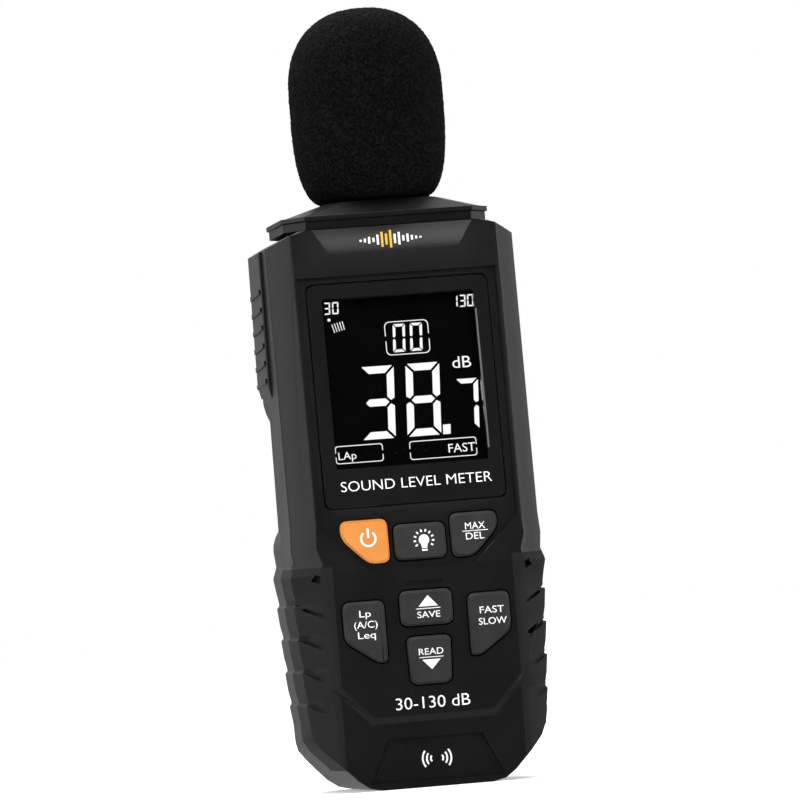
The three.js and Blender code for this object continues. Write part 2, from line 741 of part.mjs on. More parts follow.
// its underside lies along the roof
function foamWindscreen() {
  const low = roofTop + gap;
  const high = low + foamHigh;
  const bore = tubeRadius + gap;
  const belly = low + foamBelly;
  const profile = [[bore, low], [foamFoot, low]];
  const roundness = 0.87;
  for (let i = 1; i <= 6; i += 1) {
    const t = (i / 6) * (Math.PI / 2);
    profile.push([
      foamFoot + (foamRadius - foamFoot) * Math.sin(t) ** 0.75, belly - (belly - low) * Math.cos(t) ** 0.75,
    ]);
  }
  const shoulder = belly + foamBand;
  profile.push([foamRadius, shoulder]);
  const dome = high - shoulder;
  for (let i = 1; i <= 8; i += 1) {
    const t = (i / 8) * (Math.PI / 2);
    profile.push([foamRadius * Math.cos(t) ** roundness, shoulder + dome * Math.sin(t) ** roundness]);
  }
  profile[profile.length - 1][0] = 0;
  profile.push([0, low + foamBoreDeep], [bore, low + foamBoreDeep - 1.5], [bore, low]);
  return turned(profile, 0, micDepth, 32).warp((p) => {
    const share = Math.min(1, Math.max(0, (belly - p[2]) / foamBelly));
    p[2] -= share * (p[1] - capFront) * Math.tan(topSlope);
  });
}

// ---------------------------------------------------------------- display
function windowPlate(half, low, high, y0, y1, corner) {
  const outline = [[-half, low], [half, low], [half, high], [-half, high]];
  return leaned(slab(corner ? roundedOutline(outline, corner) : outline, y0, y1));
}

const lcdFront = frontWall + gap;
const lightFront = lcdFront + lcdThick + gap;

function displayLens() {
  const front = pocketDeep - lensProud;
  return windowPlate(lensHalf - gap, lensLow + gap, lensHigh - gap, front, front + lensThick, lensCorner);
}

function lcdFrame() {
  const front = frontWall + gap;
  const back = lightFront + lightThick;
  const outer = windowPlate(lcdHalf + gap + frameRim, lcdLow - gap - frameRim, lcdHigh + gap + frameRim,
    front, back);
  return outer.subtract(windowPlate(lcdHalf + gap, lcdLow - gap, lcdHigh + gap, -beyond, back + beyond));
}

// ---------------------------------------------------------------- boards and small parts
function keyBoard() {
  let board = slab([[-22.6, 14.5], [22.6, 14.5], [22.6, 66], [-22.6, 66]], keyBoardDepth,
    keyBoardDepth + boardThick);
  for (const [x, z] of screws.slice(2)) {
    board = board.subtract(rod(x, z, postRadius + 1, -beyond, bodyDepth));
  }
  return board;
}

function keypadMat() {
  const back = keyBoardDepth - gap;
  const outline = [[-21.6, 21.4], [21.6, 21.4], [21.6, 51.2], [-21.6, 51.2]];
  let mat = slab(outline, back - 1, back);
  for (const x of [-stopX, stopX]) {
    mat = mat.subtract(box(x - stopHalf - 0.7, x + stopHalf + 0.7, -beyond, bodyDepth, keyStopLow - 1,
      keyStopHigh + 1));
  }
  for (const key of keys) {
    mat = mat.subtract(rod(...key.dome, domeRadius + 0.8, -beyond, bodyDepth));
  }
  return mat;
}

function domeSwitch(key) {
  const back = keyBoardDepth - gap;
  return turnedDeep([
    [0, back - domeHigh], [domeRadius - 1.2, back - domeHigh], [domeRadius, back - 0.15],
    [domeRadius, back], [0, back],
  ], ...key.dome, 16);
}

function mainBoard() {
  let board = slab([[-20.5, 28], [20.5, 28], [23.6, 34], [23.6, 121], [-23.6, 121], [-23.6, 34]],
    mainBoardDepth, mainBoardDepth + boardThick);
  for (const [x, z] of screws.slice(0, 2)) {
    board = board.subtract(rod(x, z, postRadius + 1, -beyond, bodyDepth));
  }
  for (const x of [-stopX, stopX]) {
    board = board.subtract(rod(x, stopZ, boardScrewRadius + 0.5, -beyond, bodyDepth, 12));
  }
  return board;
}

function boardScrew(x) {
  const back = mainBoardDepth + boardThick;
  return turnedDeep([
    [0, back + gap + 1.2], [1.9, back + gap + 1.2], [2.1, back + gap], [boardScrewRadius, back + gap],
    [boardScrewRadius, mainBoardDepth - 3], [0, mainBoardDepth - 3],
  ], x, stopZ, 12);
}

function coil(x) {
  const turns = 3;
  const low = tubLow + 2 * gap + contactThick;
  const high = cellBottom - gap;
  class Helix extends THREE.Curve {
    getPoint(t, target = new THREE.Vector3()) {
      const angle = t * turns * 2 * Math.PI;
      const radius = 3.6 - 1.4 * t;
      return target.set(x + radius * Math.cos(angle), cellDepth + radius * Math.sin(angle),
        low + 0.4 + (high - low - 0.8) * t);
    }
  }
  const wire = new THREE.Shape();
  wire.absarc(0, 0, 0.3, 0, 2 * Math.PI, false);
  const geometry = new THREE.ExtrudeGeometry(wire, {
    steps: turns * 10, curveSegments: 3, extrudePath: new Helix(), bevelEnabled: false,
  });
  return toSolid(orient(geometry));
}

const cellDepth = tubFloor + gap + cellRadius;

function cell(x) {
  const top = cellBottom + cellLong;
  return turned([
    [0, cellBottom], [cellRadius - 0.5, cellBottom], [cellRadius, cellBottom + 0.5],
    [cellRadius, top - 1.6], [cellRadius - 0.6, top - 1], [1.9, top - 1], [1.9, top], [0, top],
  ], x, cellDepth);
}

function doorPiece() {
  const outer = bodyDepth;
  const inner = bodyDepth - doorThick;
  const outline = roundedOutline([[-doorHalf, doorLow], [doorHalf, doorLow], [doorHalf, doorHigh],
    [-doorHalf, doorHigh]], 1.2);
  let door = slab(outline, inner, outer);
  for (const x of [-hookX, hookX]) {
    door = door.add(box(x - hookHalf, x + hookHalf, inner - 1.6, inner + 0.2, doorLow - 1.4, doorLow + 2));
  }
  // latch tongue with its grip ribs
  door = door.subtract(rod(0, doorHigh + 1.2, notchRadius - gap, outer - 0.8, outer + beyond));
  for (let i = 0; i < 4; i += 1) {
    const z = doorHigh - 8 - i * 1.8;
    door = door.add(box(-6, 6, outer - 0.3, outer + 0.35, z, z + 0.8));
  }
  return door;
}

function tripodInsert() {
  return turnedDeep([
    [insertBore, bodyDepth - insertLong], [insertRadius, bodyDepth - insertLong],
    [insertRadius, bodyDepth - 0.4], [insertBore + 0.5, bodyDepth - 0.4],
    [insertBore, bodyDepth - 1], [insertBore, bodyDepth - insertLong],
  ], 0, insertZ);
}

function caseScrew(x, z) {
  const seat = bodyDepth - headDeep - headHigh + gap;
  const tip = partDepth - screwBite;
  const solid = turnedDeep([
    [0, tip], [screwRadius, tip + 1], [screwRadius, seat], [headRadius, seat],
    [headRadius, seat + headHigh - 0.5], [headRadius - 0.5, seat + headHigh], [0, seat + headHigh],
  ], x, z, 20);
  const slot = box(x - 1.6, x + 1.6, seat + headHigh - 0.9, seat + 5, z - 0.35, z + 0.35)
    .add(box(x - 0.35, x + 0.35, seat + headHigh - 0.9, seat + 5, z - 1.6, z + 1.6));
  return solid.subtract(slot);
}

// A lead through a list of points, as a smooth tube.
function lead(points, radius) {
  const curve = new THREE.CatmullRomCurve3(points.map((p) => new THREE.Vector3(...p)));
  const wire = new THREE.Shape();
  wire.absarc(0, 0, radius, 0, 2 * Math.PI, false);
  return toSolid(orient(new THREE.ExtrudeGeometry(wire, {
    steps: 22, curveSegments: 3, extrudePath: curve, bevelEnabled: false,
  })));
}

// ---------------------------------------------------------------- assembly
const finish = (color, roughness, metalness = 0) => new THREE.MeshStandardMaterial({
  color, roughness, metalness,
});
const black = finish(0x1d1d1f, 0.6);
const capBlack = finish(0x222224, 0.55);
const gloss = finish(0x050506, 0.08);
const glass = finish(0x101418, 0.1);
const white = finish(0xe8e8e4, 0.5);
const silicone = finish(0x3c3c3f, 0.7);
const orange = finish(0xf08a24, 0.6);
const foam = finish(0x141415, 0.95);
const board = finish(0x17502b, 0.5);
const chip = finish(0x19191b, 0.5);
const steel = finish(0xb9bcc0, 0.35, 1);
const brass = finish(0xb98a3c, 0.35, 1);
const copper = finish(0xd9c9a0, 0.4, 1);
const label = finish(0x2b4f7a, 0.4);
const redLead = finish(0xa01818, 0.5);
const blackLead = finish(0x121212, 0.5);

const model = new THREE.Group();
const midDepth = (micDepth + foamRadius - keyProud) / 2;
model.position.y = -midDepth;

function put(name, solid, material) {
  const mesh = new THREE.Mesh(toGeometry(solid), material);
  mesh.name = name;
  model.add(mesh);
}

const outer = outerForm();
const inner = innerForm();
put('front_shell', frontShell(outer, inner), black);
put('rear_shell', rearShell(outer, inner), black);
put('top_cap', topCap(), capBlack);

put('display_lens', displayLens(), gloss);
put('lcd_glass', windowPlate(lcdHalf, lcdLow, lcdHigh, lcdFront, lcdFront + lcdThick), glass);
put('lcd_frame', lcdFrame(), white);
put('backlight_panel', windowPlate(lcdHalf, lcdLow, lcdHigh, lightFront, lightFront + lightThick), white);

for (const key of keys) {
  put(key.name, keySolid(key), key.name === 'key_power' ? orange : silicone);
}
keys.forEach((key, i) => put(`dome_switch_${i + 1}`, domeSwitch(key), steel));
put('keypad_mat', keypadMat(), silicone);
put('key_board', keyBoard(), board);
put('main_board', mainBoard(), board);

const behindMain = mainBoardDepth + boardThick + gap;
put('processor_chip', box(-6, 6, behindMain, behindMain + chipThick, 94, 106), chip);
put('amplifier_chip', box(-4, 4, behindMain, behindMain + chipThick, chipHigh - 3, chipHigh + 3), chip);
const headerFront = keyBoardDepth + boardThick + gap;
put('board_header', box(-10, 10, headerFront, mainBoardDepth - gap, 34, 39), chip);
put('board_screw_1', boardScrew(-stopX), steel);
put('board_screw_2', boardScrew(stopX), steel);

put('mic_tube', micTube(), capBlack);
put('mic_capsule', micCapsule(), steel);
put('mic_grid', micGrid(), steel);
put('mic_gasket', micGasket(), silicone);
put('mic_lead', lead([
  [0, micDepth, capsuleLow - 5 - gap], [0, micDepth, bodyTop + 6], [0, micDepth, bodyTop - 6],
  [3, micDepth - 0.6, chipHigh + 8], [3, micDepth - 2, chipHigh + 2],
  [0, behindMain + chipThick + gap + leadRadius, chipHigh - 1],
], leadRadius), blackLead);
put('foam_windscreen', foamWindscreen(), foam);

put('battery_door', doorPiece(), black);
for (let i = 0; i < 3; i += 1) {
  const x = (i - 1) * cellSpace;
  put(`battery_${i + 1}`, cell(x), label);
  put(`battery_spring_${i + 1}`, coil(x), steel);
}
const plateHalf = tubHalf - gap;
put('spring_plate', box(-plateHalf, plateHalf, tubFloor + gap, tubFloor + contactDeep, tubLow + gap,
  tubLow + gap + contactThick), copper);
const plateLow = cellBottom + cellLong + gap;
put('button_plate', box(-plateHalf, plateHalf, tubFloor + gap, tubFloor + contactDeep, plateLow,
  plateLow + contactThick), copper);

put('tripod_insert', tripodInsert(), brass);
screws.forEach(([x, z], i) => put(`case_screw_${i + 1}`, caseScrew(x, z), steel));

export default model;
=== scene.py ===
import math

import bmesh
import bpy
import numpy as np
from mathutils import Matrix, Vector


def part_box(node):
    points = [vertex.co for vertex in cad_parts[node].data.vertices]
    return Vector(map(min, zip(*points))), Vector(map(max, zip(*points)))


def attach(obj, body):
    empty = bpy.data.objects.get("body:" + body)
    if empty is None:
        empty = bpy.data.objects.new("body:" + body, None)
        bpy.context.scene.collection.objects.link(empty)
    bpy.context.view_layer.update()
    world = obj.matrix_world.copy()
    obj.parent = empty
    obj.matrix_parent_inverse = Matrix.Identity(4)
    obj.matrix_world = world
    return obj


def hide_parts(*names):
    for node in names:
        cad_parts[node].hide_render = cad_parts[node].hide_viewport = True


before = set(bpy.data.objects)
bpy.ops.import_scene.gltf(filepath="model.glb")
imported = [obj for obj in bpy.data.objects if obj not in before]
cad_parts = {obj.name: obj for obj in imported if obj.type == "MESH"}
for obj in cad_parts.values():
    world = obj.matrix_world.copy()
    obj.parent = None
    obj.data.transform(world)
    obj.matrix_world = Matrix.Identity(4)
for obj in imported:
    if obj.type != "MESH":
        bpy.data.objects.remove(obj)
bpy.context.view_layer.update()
scene = bpy.context.scene
scene.view_settings.view_transform = "Standard"

# Lengths are metres. Sizes read in millimetres are written as a number times MM.
MM = 0.001

# ---------------------------------------------------------------- places on the meter
KEY_PROUD = 0.9 * MM                                # keys above the face around them
KEYPAD_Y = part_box("key_up_save")[0].y + KEY_PROUD   # the upright keypad face
BEND = 52 * MM                                      # height where the face starts to lean back
LEAN = math.tan(math.radians(3.4))
LENS_LOW, LENS_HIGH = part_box("display_lens")
LENS_DEEP = 0.6 * MM                                # lens front behind the leaning face
GLASS_DEEP = 3.5 * MM                               # display glass behind the leaning face
POCKET_DEEP = 0.8 * MM                              # floor of the display pocket, behind that face
CREST_DEEP = 0.8 * MM                               # the same for the recess at the top
CHIN_DEEP = 1.5 * MM                                # and for the one at the bottom
INK = 0.03 * MM                                     # thickness of a print
CAPITAL = 0.729                                     # height of a capital in a text of size 1
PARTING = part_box("rear_shell")[0].y                 # front edge of the rear shell
HOLES_HALF = 22.5 * MM                              # the key and display holes lie nearer the middle
GRIP_TOP = 54 * MM
GRIP_HALF = 22 * MM                                 # the grip's sloping edges start this far out
GRIP_DULL = 0.36                                    # how much rougher those edges are
WELD = 0.004 * MM                                   # points nearer than this are one point
SHARP = math.radians(24)                            # edges that turn more than this are rounded


def face_y(z, deep=0.0):
    """The y of a point that lies deep behind the front face at height z."""
    return KEYPAD_Y + max(0.0, z - BEND) * LEAN + deep


# ---------------------------------------------------------------- shaders
class Wire:
    """A shader output that takes part in Python arithmetic."""

    def __init__(self, paint, socket):
        self.paint = paint
        self.socket = socket

    def math(self, operation, a, b=0.0):
        return self.paint.node("Math", {"operation": operation}, {0: a, 1: b})

    def __add__(self, other):
        return self.math("ADD", self, other)

    __radd__ = __add__

    def __sub__(self, other):
        return self.math("SUBTRACT", self, other)

    def __rsub__(self, other):
        return self.math("SUBTRACT", other, self)

    def __mul__(self, other):
        return self.math("MULTIPLY", self, other)

    __rmul__ = __mul__

    def __truediv__(self, other):
        return self.math("DIVIDE", self, other)

    def __gt__(self, other):
        return self.math("GREATER_THAN", self, other)

    def __lt__(self, other):
        return self.math("LESS_THAN", self, other)


class Paint:
    """One material, whose Principled shader is fed by nodes."""

    def __init__(self, name, **plain):
        self.material = bpy.data.materials.new(name)
        self.material.use_nodes = True
        self.tree = self.material.node_tree
        self.shader = self.tree.nodes["Principled BSDF"]
        for key, value in plain.items():
            self.shader.inputs[key.replace("_", " ")].default_value = value

    def node(self, kind, settings=None, inputs=None, out=0):
        made = self.tree.nodes.new("ShaderNode" + kind)
        for key, value in (settings or {}).items():
            if key == "stops":
                self.set_stops(made.color_ramp, value)
            else:
                setattr(made, key, value)
        for key, value in (inputs or {}).items():
            self.feed(made.inputs[key], value)
        return Wire(self, made.outputs[out])

    @staticmethod
    def set_stops(ramp, stops):
        while len(ramp.elements) < len(stops):
            ramp.elements.new(1.0)
        for element, (place, level) in zip(ramp.elements, stops):
            element.position = place
            element.color = (level, level, level, 1.0)

    def feed(self, socket, value):
        if isinstance(value, Wire):
            self.tree.links.new(value.socket, socket)
        else:
            socket.default_value = value

    def drive(self, **sockets):
        for key, value in sockets.items():
            self.feed(self.shader.inputs[key.replace("_", " ")], value)
        return self

    def place(self, stretch=(1.0, 1.0, 1.0)):
        here = self.node("TexCoord", out="Object")
        if stretch == (1.0, 1.0, 1.0):
            return here
        return self.node("Mapping", inputs={"Vector": here, "Scale": stretch})

    def coordinates(self):
        """The place's x, y and z as three numbers."""
        here = self.place()
        return [self.node("SeparateXYZ", inputs={"Vector": here}, out=axis) for axis in "XYZ"]

    def noise(self, size, detail=2.0, stretch=(1.0, 1.0, 1.0), rough=0.5):
        return self.node("TexNoise", inputs={
            "Vector": self.place(stretch), "Scale": 1.0 / size, "Detail": detail, "Roughness": rough,
        })

    def cells(self, size, feature="F1"):
        return self.node("TexVoronoi", {"feature": feature}, {
            "Vector": self.place(), "Scale": 1.0 / size,
        })

    def ramp(self, value, *stops):
        return self.node("ValToRGB", {"stops": stops}, {"Fac": value})

    def mix(self, factor, a, b):
        return self.node("Mix", {"data_type": "RGBA"}, {"Factor": factor, 6: a, 7: b}, out=2)

    def bump(self, height, distance, strength=1.0):
        bump = self.node("Bump", inputs={"Height": height, "Distance": distance, "Strength": strength})
        self.drive(Normal=bump)
        return self


def grey(level):
    return (level, level, level, 1.0)


def moulded(name, dark, light, roughness, grain, depth, grip=False):
    """Moulded plastic with a spark-eroded grain, faint flow marks and slightly polished high spots.

    With grip, the front edges of the casing are duller where the hand holds it.
    """
    paint = Paint(name, Specular_IOR_Level=0.4)
    fine = paint.noise(grain, 3.0, rough=0.6)
    pits = paint.cells(grain * 2.2)
    flow = paint.noise(14 * MM, 3.0)
    texture = fine * 0.65 + pits * 0.5
    roughness = (fine - 0.5) * 0.22 + (flow - 0.5) * 0.12 + roughness
    if grip:
        across, along, height = paint.coordinates()
        outer = across * across > GRIP_HALF ** 2
        roughness = roughness + (height < GRIP_TOP) * (along < PARTING) * outer * GRIP_DULL
    paint.drive(
        Base_Color=paint.mix(paint.ramp(flow * 0.6 + fine * 0.4, (0.3, 0.0), (0.7, 1.0)), dark, light),
        Roughness=roughness,
    )
    return paint.bump(texture, depth)


def silicone(name, dark, light, roughness):
    """Soft-touch silicone: a fine powdery tooth and a little handling shine in patches."""
    paint = Paint(name)
    tooth = paint.noise(0.12 * MM, 2.0)
    patches = paint.noise(5 * MM, 3.0)
    paint.drive(
        Base_Color=paint.mix(paint.ramp(patches, (0.3, 0.0), (0.75, 1.0)), dark, light),
        Roughness=roughness + (tooth - 0.5) * 0.15 - paint.ramp(patches, (0.55, 0.0), (0.8, 1.0)) * 0.1,
    )
    return paint.bump(tooth, 0.012 * MM)


def printed(name, ink, worn):
    """Screen-printed ink, a little thin in places."""
    paint = Paint(name, Specular_IOR_Level=0.3)
    cover = paint.noise(0.4 * MM, 3.0)
    paint.drive(
        Base_Color=paint.mix(paint.ramp(cover, (0.62, 0.0), (0.8, 1.0)), ink, worn),
        Roughness=0.45 + (cover - 0.5) * 0.2,
    )
    return paint.bump(cover, 0.004 * MM)


def plated(name, colour, tint, roughness, stretch):
    """Plated or turned metal with tool marks along one direction."""
    paint = Paint(name, Metallic=1.0)
    marks = paint.noise(0.25 * MM, 4.0, stretch)
    stain = paint.noise(3 * MM, 2.0)
    paint.drive(
        Base_Color=paint.mix(stain, colour, tint),
        Roughness=roughness + (marks - 0.5) * 0.25 + (stain - 0.5) * 0.1,
    )
    return paint.bump(marks, 0.01 * MM)


case_paint = moulded("case ABS", grey(0.004), grey(0.0065), 0.38, 0.22 * MM, 0.03 * MM, grip=True)
cap_paint = moulded("cap ABS", grey(0.003), grey(0.005), 0.42, 0.16 * MM, 0.015 * MM)
door_paint = moulded("door ABS", grey(0.0045), grey(0.0075), 0.5, 0.26 * MM, 0.035 * MM)
key_paint = silicone("grey silicone", (0.013, 0.0135, 0.015, 1), (0.021, 0.0215, 0.023, 1), 0.62)
power_paint = silicone("orange silicone", (0.6, 0.2, 0.026, 1), (0.66, 0.245, 0.036, 1), 0.55)
mat_paint = silicone("mat silicone", grey(0.05), grey(0.07), 0.7)
ink_paint = printed("white ink", grey(0.86), grey(0.7))
# painted highlight: a pale ink strip that stands in for light caught by the display window's cut edge
painted_glint_paint = printed("painted glint on window edge", grey(0.1), grey(0.07))
amber_paint = printed("amber ink", (0.9, 0.42, 0.04, 1), (0.7, 0.32, 0.03, 1))
steel_paint = plated("plated steel", grey(0.55), (0.6, 0.61, 0.64, 1), 0.3, (1, 6, 1))
brass_paint = plated("turned brass", (0.72, 0.5, 0.2, 1), (0.6, 0.4, 0.16, 1), 0.32, (1, 8, 1))
strip_paint = plated("nickel strip", (0.72, 0.66, 0.52, 1), (0.62, 0.57, 0.45, 1), 0.3, (8, 1, 1))


def lens_black():
    paint = Paint("lens border", Specular_IOR_Level=0.5, Coat_Weight=0.4, Coat_Roughness=0.03)
    smear = paint.noise(9 * MM, 4.0, (1, 1, 0.4))
    dust = paint.cells(0.9 * MM)
    paint.drive(
        Base_Color=paint.mix(paint.ramp(smear, (0.35, 0.0), (0.8, 1.0)), grey(0.0065), grey(0.009)),
        Roughness=0.09 + smear * 0.08 + (dust < 0.06) * 0.1,
    )
    return paint.bump(smear, 0.01 * MM)


def lens_clear():
    paint = Paint("lens window", Specular_IOR_Level=0.3, Alpha=0.04)
    smear = paint.noise(9 * MM, 4.0, (1, 1, 0.4))
    paint.drive(Base_Color=paint.mix(smear, grey(0.002), grey(0.006)), Roughness=0.07 + smear * 0.07)
    return paint


def display_black():
    paint = Paint("display ground", Specular_IOR_Level=0.08)
    haze = paint.noise(7 * MM, 2.0)
    paint.drive(
        Base_Color=paint.mix(haze, grey(0.0003), grey(0.0007)),
        Roughness=0.3 + haze * 0.2,
    )
    return paint


def display_lit():
    paint = Paint("lit segments", Specular_IOR_Level=0.0, Roughness=0.6, Emission_Strength=1.0)
    grid = paint.noise(0.25 * MM, 2.0)
    glow = paint.mix(paint.ramp(grid, (0.3, 0.0), (0.7, 1.0)), (0.9, 0.92, 0.94, 1), (0.97, 0.98, 1.0, 1))
    paint.drive(Base_Color=paint.mix(grid, grey(0.1), grey(0.14)), Emission_Color=glow)
    return paint


def foam_black():
    """Open-cell foam: pores painted near black as the shade inside the cells, between lighter, slightly
    shiny struts.
    """
    paint = Paint("open-cell foam", Specular_IOR_Level=0.06)
    pores = paint.cells(0.72 * MM)
    small = paint.cells(0.36 * MM)
    tone = paint.noise(6 * MM, 2.0)
    strut_vs_pore_shade = paint.ramp(pores * 0.75 + small * 0.4, (0.35, 0.0), (0.8, 1.0))
    paint.drive(
        # painted shade: grey(0.0005) fills the pores, where shade falls in the cells; elsewhere the foam
        # keeps its varying tone
        Base_Color=paint.mix(strut_vs_pore_shade, grey(0.0005), paint.mix(tone, grey(0.003), grey(0.0056))),
        Roughness=0.95 - strut_vs_pore_shade * 0.15,
    )
    return paint.bump(strut_vs_pore_shade, 0.25 * MM, 0.9)


def circuit_green():
    paint = Paint("solder mask", Coat_Weight=0.3)
    tracks = paint.node("TexBrick", inputs={
        "Vector": paint.node("Mapping", inputs={
            "Vector": paint.place(), "Rotation": (math.radians(90), 0, 0),
        }),
        "Scale": 90.0, "Mortar Size": 0.03, "Mortar Smooth": 0.2,
        "Color1": grey(0.0), "Color2": grey(0.15), "Mortar": grey(1.0),
    })
    weave = paint.noise(1.1 * MM, 2.0)
    paint.drive(
        Base_Color=paint.mix(tracks, (0.012, 0.1, 0.035, 1), (0.03, 0.2, 0.07, 1)),
        Roughness=0.32 + weave * 0.15,
    )
    return paint.bump(tracks * 0.7 + weave * 0.3, 0.03 * MM)


def moulded_resin():
    return moulded("chip resin", grey(0.012), grey(0.02), 0.5, 0.1 * MM, 0.01 * MM)


def light_guide():
    paint = Paint("white light guide", Specular_IOR_Level=0.4)
    soft = paint.noise(2.5 * MM, 2.0)
    paint.drive(Base_Color=paint.mix(soft, grey(0.72), grey(0.8)), Roughness=0.42 + soft * 0.15)
    return paint.bump(soft, 0.01 * MM)


def lead_jacket():
    return silicone("lead jacket", grey(0.01), grey(0.016), 0.5)


def cell_sleeve():
    """Printed battery sleeve: a dark body, a copper band at the top and bare steel ends."""
    paint = Paint("cell sleeve", Coat_Weight=0.4)
    cell_low, cell_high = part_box("battery_1")
    height = paint.coordinates()[2]
    share = (height - cell_low.z) / (cell_high.z - cell_low.z)
    band = share > 0.72
    bare = (share > 0.955) + (share < 0.02)
    scuff = paint.noise(2 * MM, 4.0)
    sleeve = paint.mix(band, (0.012, 0.02, 0.045, 1), (0.5, 0.2, 0.06, 1))
    paint.drive(
        Base_Color=paint.mix(bare, sleeve, grey(0.55)),
        Metallic=bare,
        Roughness=0.25 + scuff * 0.2,
    )
    return paint.bump(scuff, 0.01 * MM)


lens_paint = lens_black()
window_paint = lens_clear()
display_paint = display_black()
lit_paint = display_lit()
foam_paint = foam_black()
board_paint = circuit_green()
chip_paint = moulded_resin()
guide_paint = light_guide()
lead_paint = lead_jacket()
cell_paint = cell_sleeve()


# ---------------------------------------------------------------- meshes
def add_mesh(name, mesh, paint):
    made = bpy.data.objects.new(name, mesh)
    scene.collection.objects.link(made)
    mesh.materials.clear()
    mesh.materials.append(paint.material)
    return made


def smooth(mesh, degrees=32):
    mesh.shade_smooth()
    mesh.set_sharp_from_angle(angle=math.radians(degrees))


def settled(obj):
    """Applies an object's modifiers and leaves it with a plain mesh."""
    bpy.context.view_layer.update()
    shaped = obj.evaluated_get(bpy.context.evaluated_depsgraph_get())
    mesh = bpy.data.meshes.new_from_object(shaped)
    obj.modifiers.clear()
    obj.data = mesh
    return obj


def merged(node):
    """A copy of a CAD node's mesh with its loose triangles joined and its flat faces made whole."""
    work = bmesh.new()
    work.from_mesh(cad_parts[node].data)
    bmesh.ops.remove_doubles(work, verts=work.verts, dist=WELD)
    bmesh.ops.dissolve_degenerate(work, edges=work.edges, dist=WELD)
    bmesh.ops.dissolve_limit(work, angle_limit=math.radians(0.6), verts=work.verts, edges=work.edges)
    mesh = bpy.data.meshes.new(node + "_form")
    work.to_mesh(mesh)
    work.free()
    return mesh


def faces_out(face, side):
    """True for a face on the outside of a shell: side is -1 for the front shell and 1 for the rear one."""
    middle = face.calc_center_median()
    if face.normal.y * side > 0.15:
        return True
    return abs(middle.x) > HOLES_HALF and face.normal.x * middle.x > 0


def mark_edges(mesh, least, side):
    """Marks the sharp edges that are at least as long as least and lie between faces of that size.

    With a side, the walls of holes and the inside of the shell stay sharp.
    """
    work = bmesh.new()
    work.from_mesh(mesh)
    weight = work.edges.layers.float.new("bevel_weight_edge")
    for edge in work.edges:
        sound = all(face.calc_area() > least * least for face in edge.link_faces)
        if side and sound:
            sound = all(faces_out(face, side) for face in edge.link_faces)
        if sound and edge.calc_face_angle(0.0) > SHARP and edge.calc_length() > least:
            edge[weight] = 1.0
    work.to_mesh(mesh)
    work.free()


def softened(name, node, body, paint, width, segments=2, least=0.2 * MM, side=0, cutter=None):
    """A CAD node's form with rounded edges, less the cutter's form, which stands for the node."""
    piece = add_mesh(name, merged(node), paint)
    smooth(piece.data)
    mark_edges(piece.data, least, side)
    bevel = piece.modifiers.new("edges", "BEVEL")
    bevel.width = width
    bevel.segments = segments
    bevel.limit_method = "WEIGHT"
    bevel.use_clamp_overlap = False
    bevel.loop_slide = False
    if cutter:
        cut = piece.modifiers.new("cut", "BOOLEAN")
        cut.operation = "DIFFERENCE"
        cut.solver = "EXACT"
        cut.object = cutter
    even = piece.modifiers.new("even", "WEIGHTED_NORMAL")
    even.keep_sharp = True
    settled(piece)
    if cutter:
        bpy.data.objects.remove(cutter)
    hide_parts(node)
    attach(piece, body)
    return piece


def band(work, first, second):
    """Faces between two closed rows of as many points."""
    for i in range(len(first)):
        j = (i + 1) % len(first)
        work.faces.new((first[i], second[i], second[j], first[j]))


def plate(name, loops, deep, thick, paint, body):
    """Flat closed shapes on the face: each loop is a list of [x, z], raised by thick towards the front."""
    work = bmesh.new()
    for loop in loops:
        back = [work.verts.new((x, face_y(z, deep), z)) for x, z in loop]
        front = [work.verts.new((x, face_y(z, deep - thick), z)) for x, z in loop]
        work.faces.new(front)
        work.faces.new(back[::-1])
        band(work, front, back)
    return finish_plate(name, work, paint, body)


def outward_mesh(name, work):
    """The mesh of a closed form, with its faces turned outwards."""
    bmesh.ops.recalc_face_normals(work, faces=work.faces)
    mesh = bpy.data.meshes.new(name)
    work.to_mesh(mesh)
    work.free()
    return mesh


def finish_plate(name, work, paint, body):
    """Makes a closed form a piece of its own and its body."""
    piece = add_mesh(name, outward_mesh(name, work), paint)
    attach(piece, body)
    return piece


def rounded_box(x0, x1, z0, z1, radius, steps=5):
    """An outline of [x, z] points with round corners."""
    loop = []
    corners = [(x1 - radius, z1 - radius, 0), (x0 + radius, z1 - radius, 90),
               (x0 + radius, z0 + radius, 180), (x1 - radius, z0 + radius, 270)]
    for cx, cz, start in corners:
        for i in range(steps + 1):
            t = math.radians(start + 90 * i / steps)
            loop.append((cx + radius * math.cos(t), cz + radius * math.sin(t)))
    return loop


def lettering(name, words, paint, body, deep, weight=0.0):
    """Printed words: each is (text, middle x, base z, width, capital height), in millimetres."""
    parts = []
    for text, middle, base, width, height in words:
        curve = bpy.data.curves.new(name + "_curve", "FONT")
        curve.body = text
        curve.extrude = 0.5
        curve.offset = weight
        curve.resolution_u = 4
        word = bpy.data.objects.new(name + "_word", curve)
        scene.collection.objects.link(word)
        bpy.context.view_layer.update()
        mesh = bpy.data.meshes.new_from_object(word.evaluated_get(bpy.context.evaluated_depsgraph_get()))
        bpy.data.objects.remove(word)
        low = min(v.co.x for v in mesh.vertices)
        high = max(v.co.x for v in mesh.vertices)
        for v in mesh.vertices:
            x = (middle + (v.co.x - (low + high) / 2) * width / (high - low)) * MM
            z = (base + v.co.y * height / CAPITAL) * MM
            v.co = (x, face_y(z, deep - (v.co.z + 0.5) * INK), z)
        parts.append(mesh)
    work = bmesh.new()
    for mesh in parts:
        work.from_mesh(mesh)
    bmesh.ops.remove_doubles(work, verts=work.verts, dist=WELD / 2)
    return finish_plate(name, work, paint, body)


def mm(loop):
    return [(x * MM, z * MM) for x, z in loop]


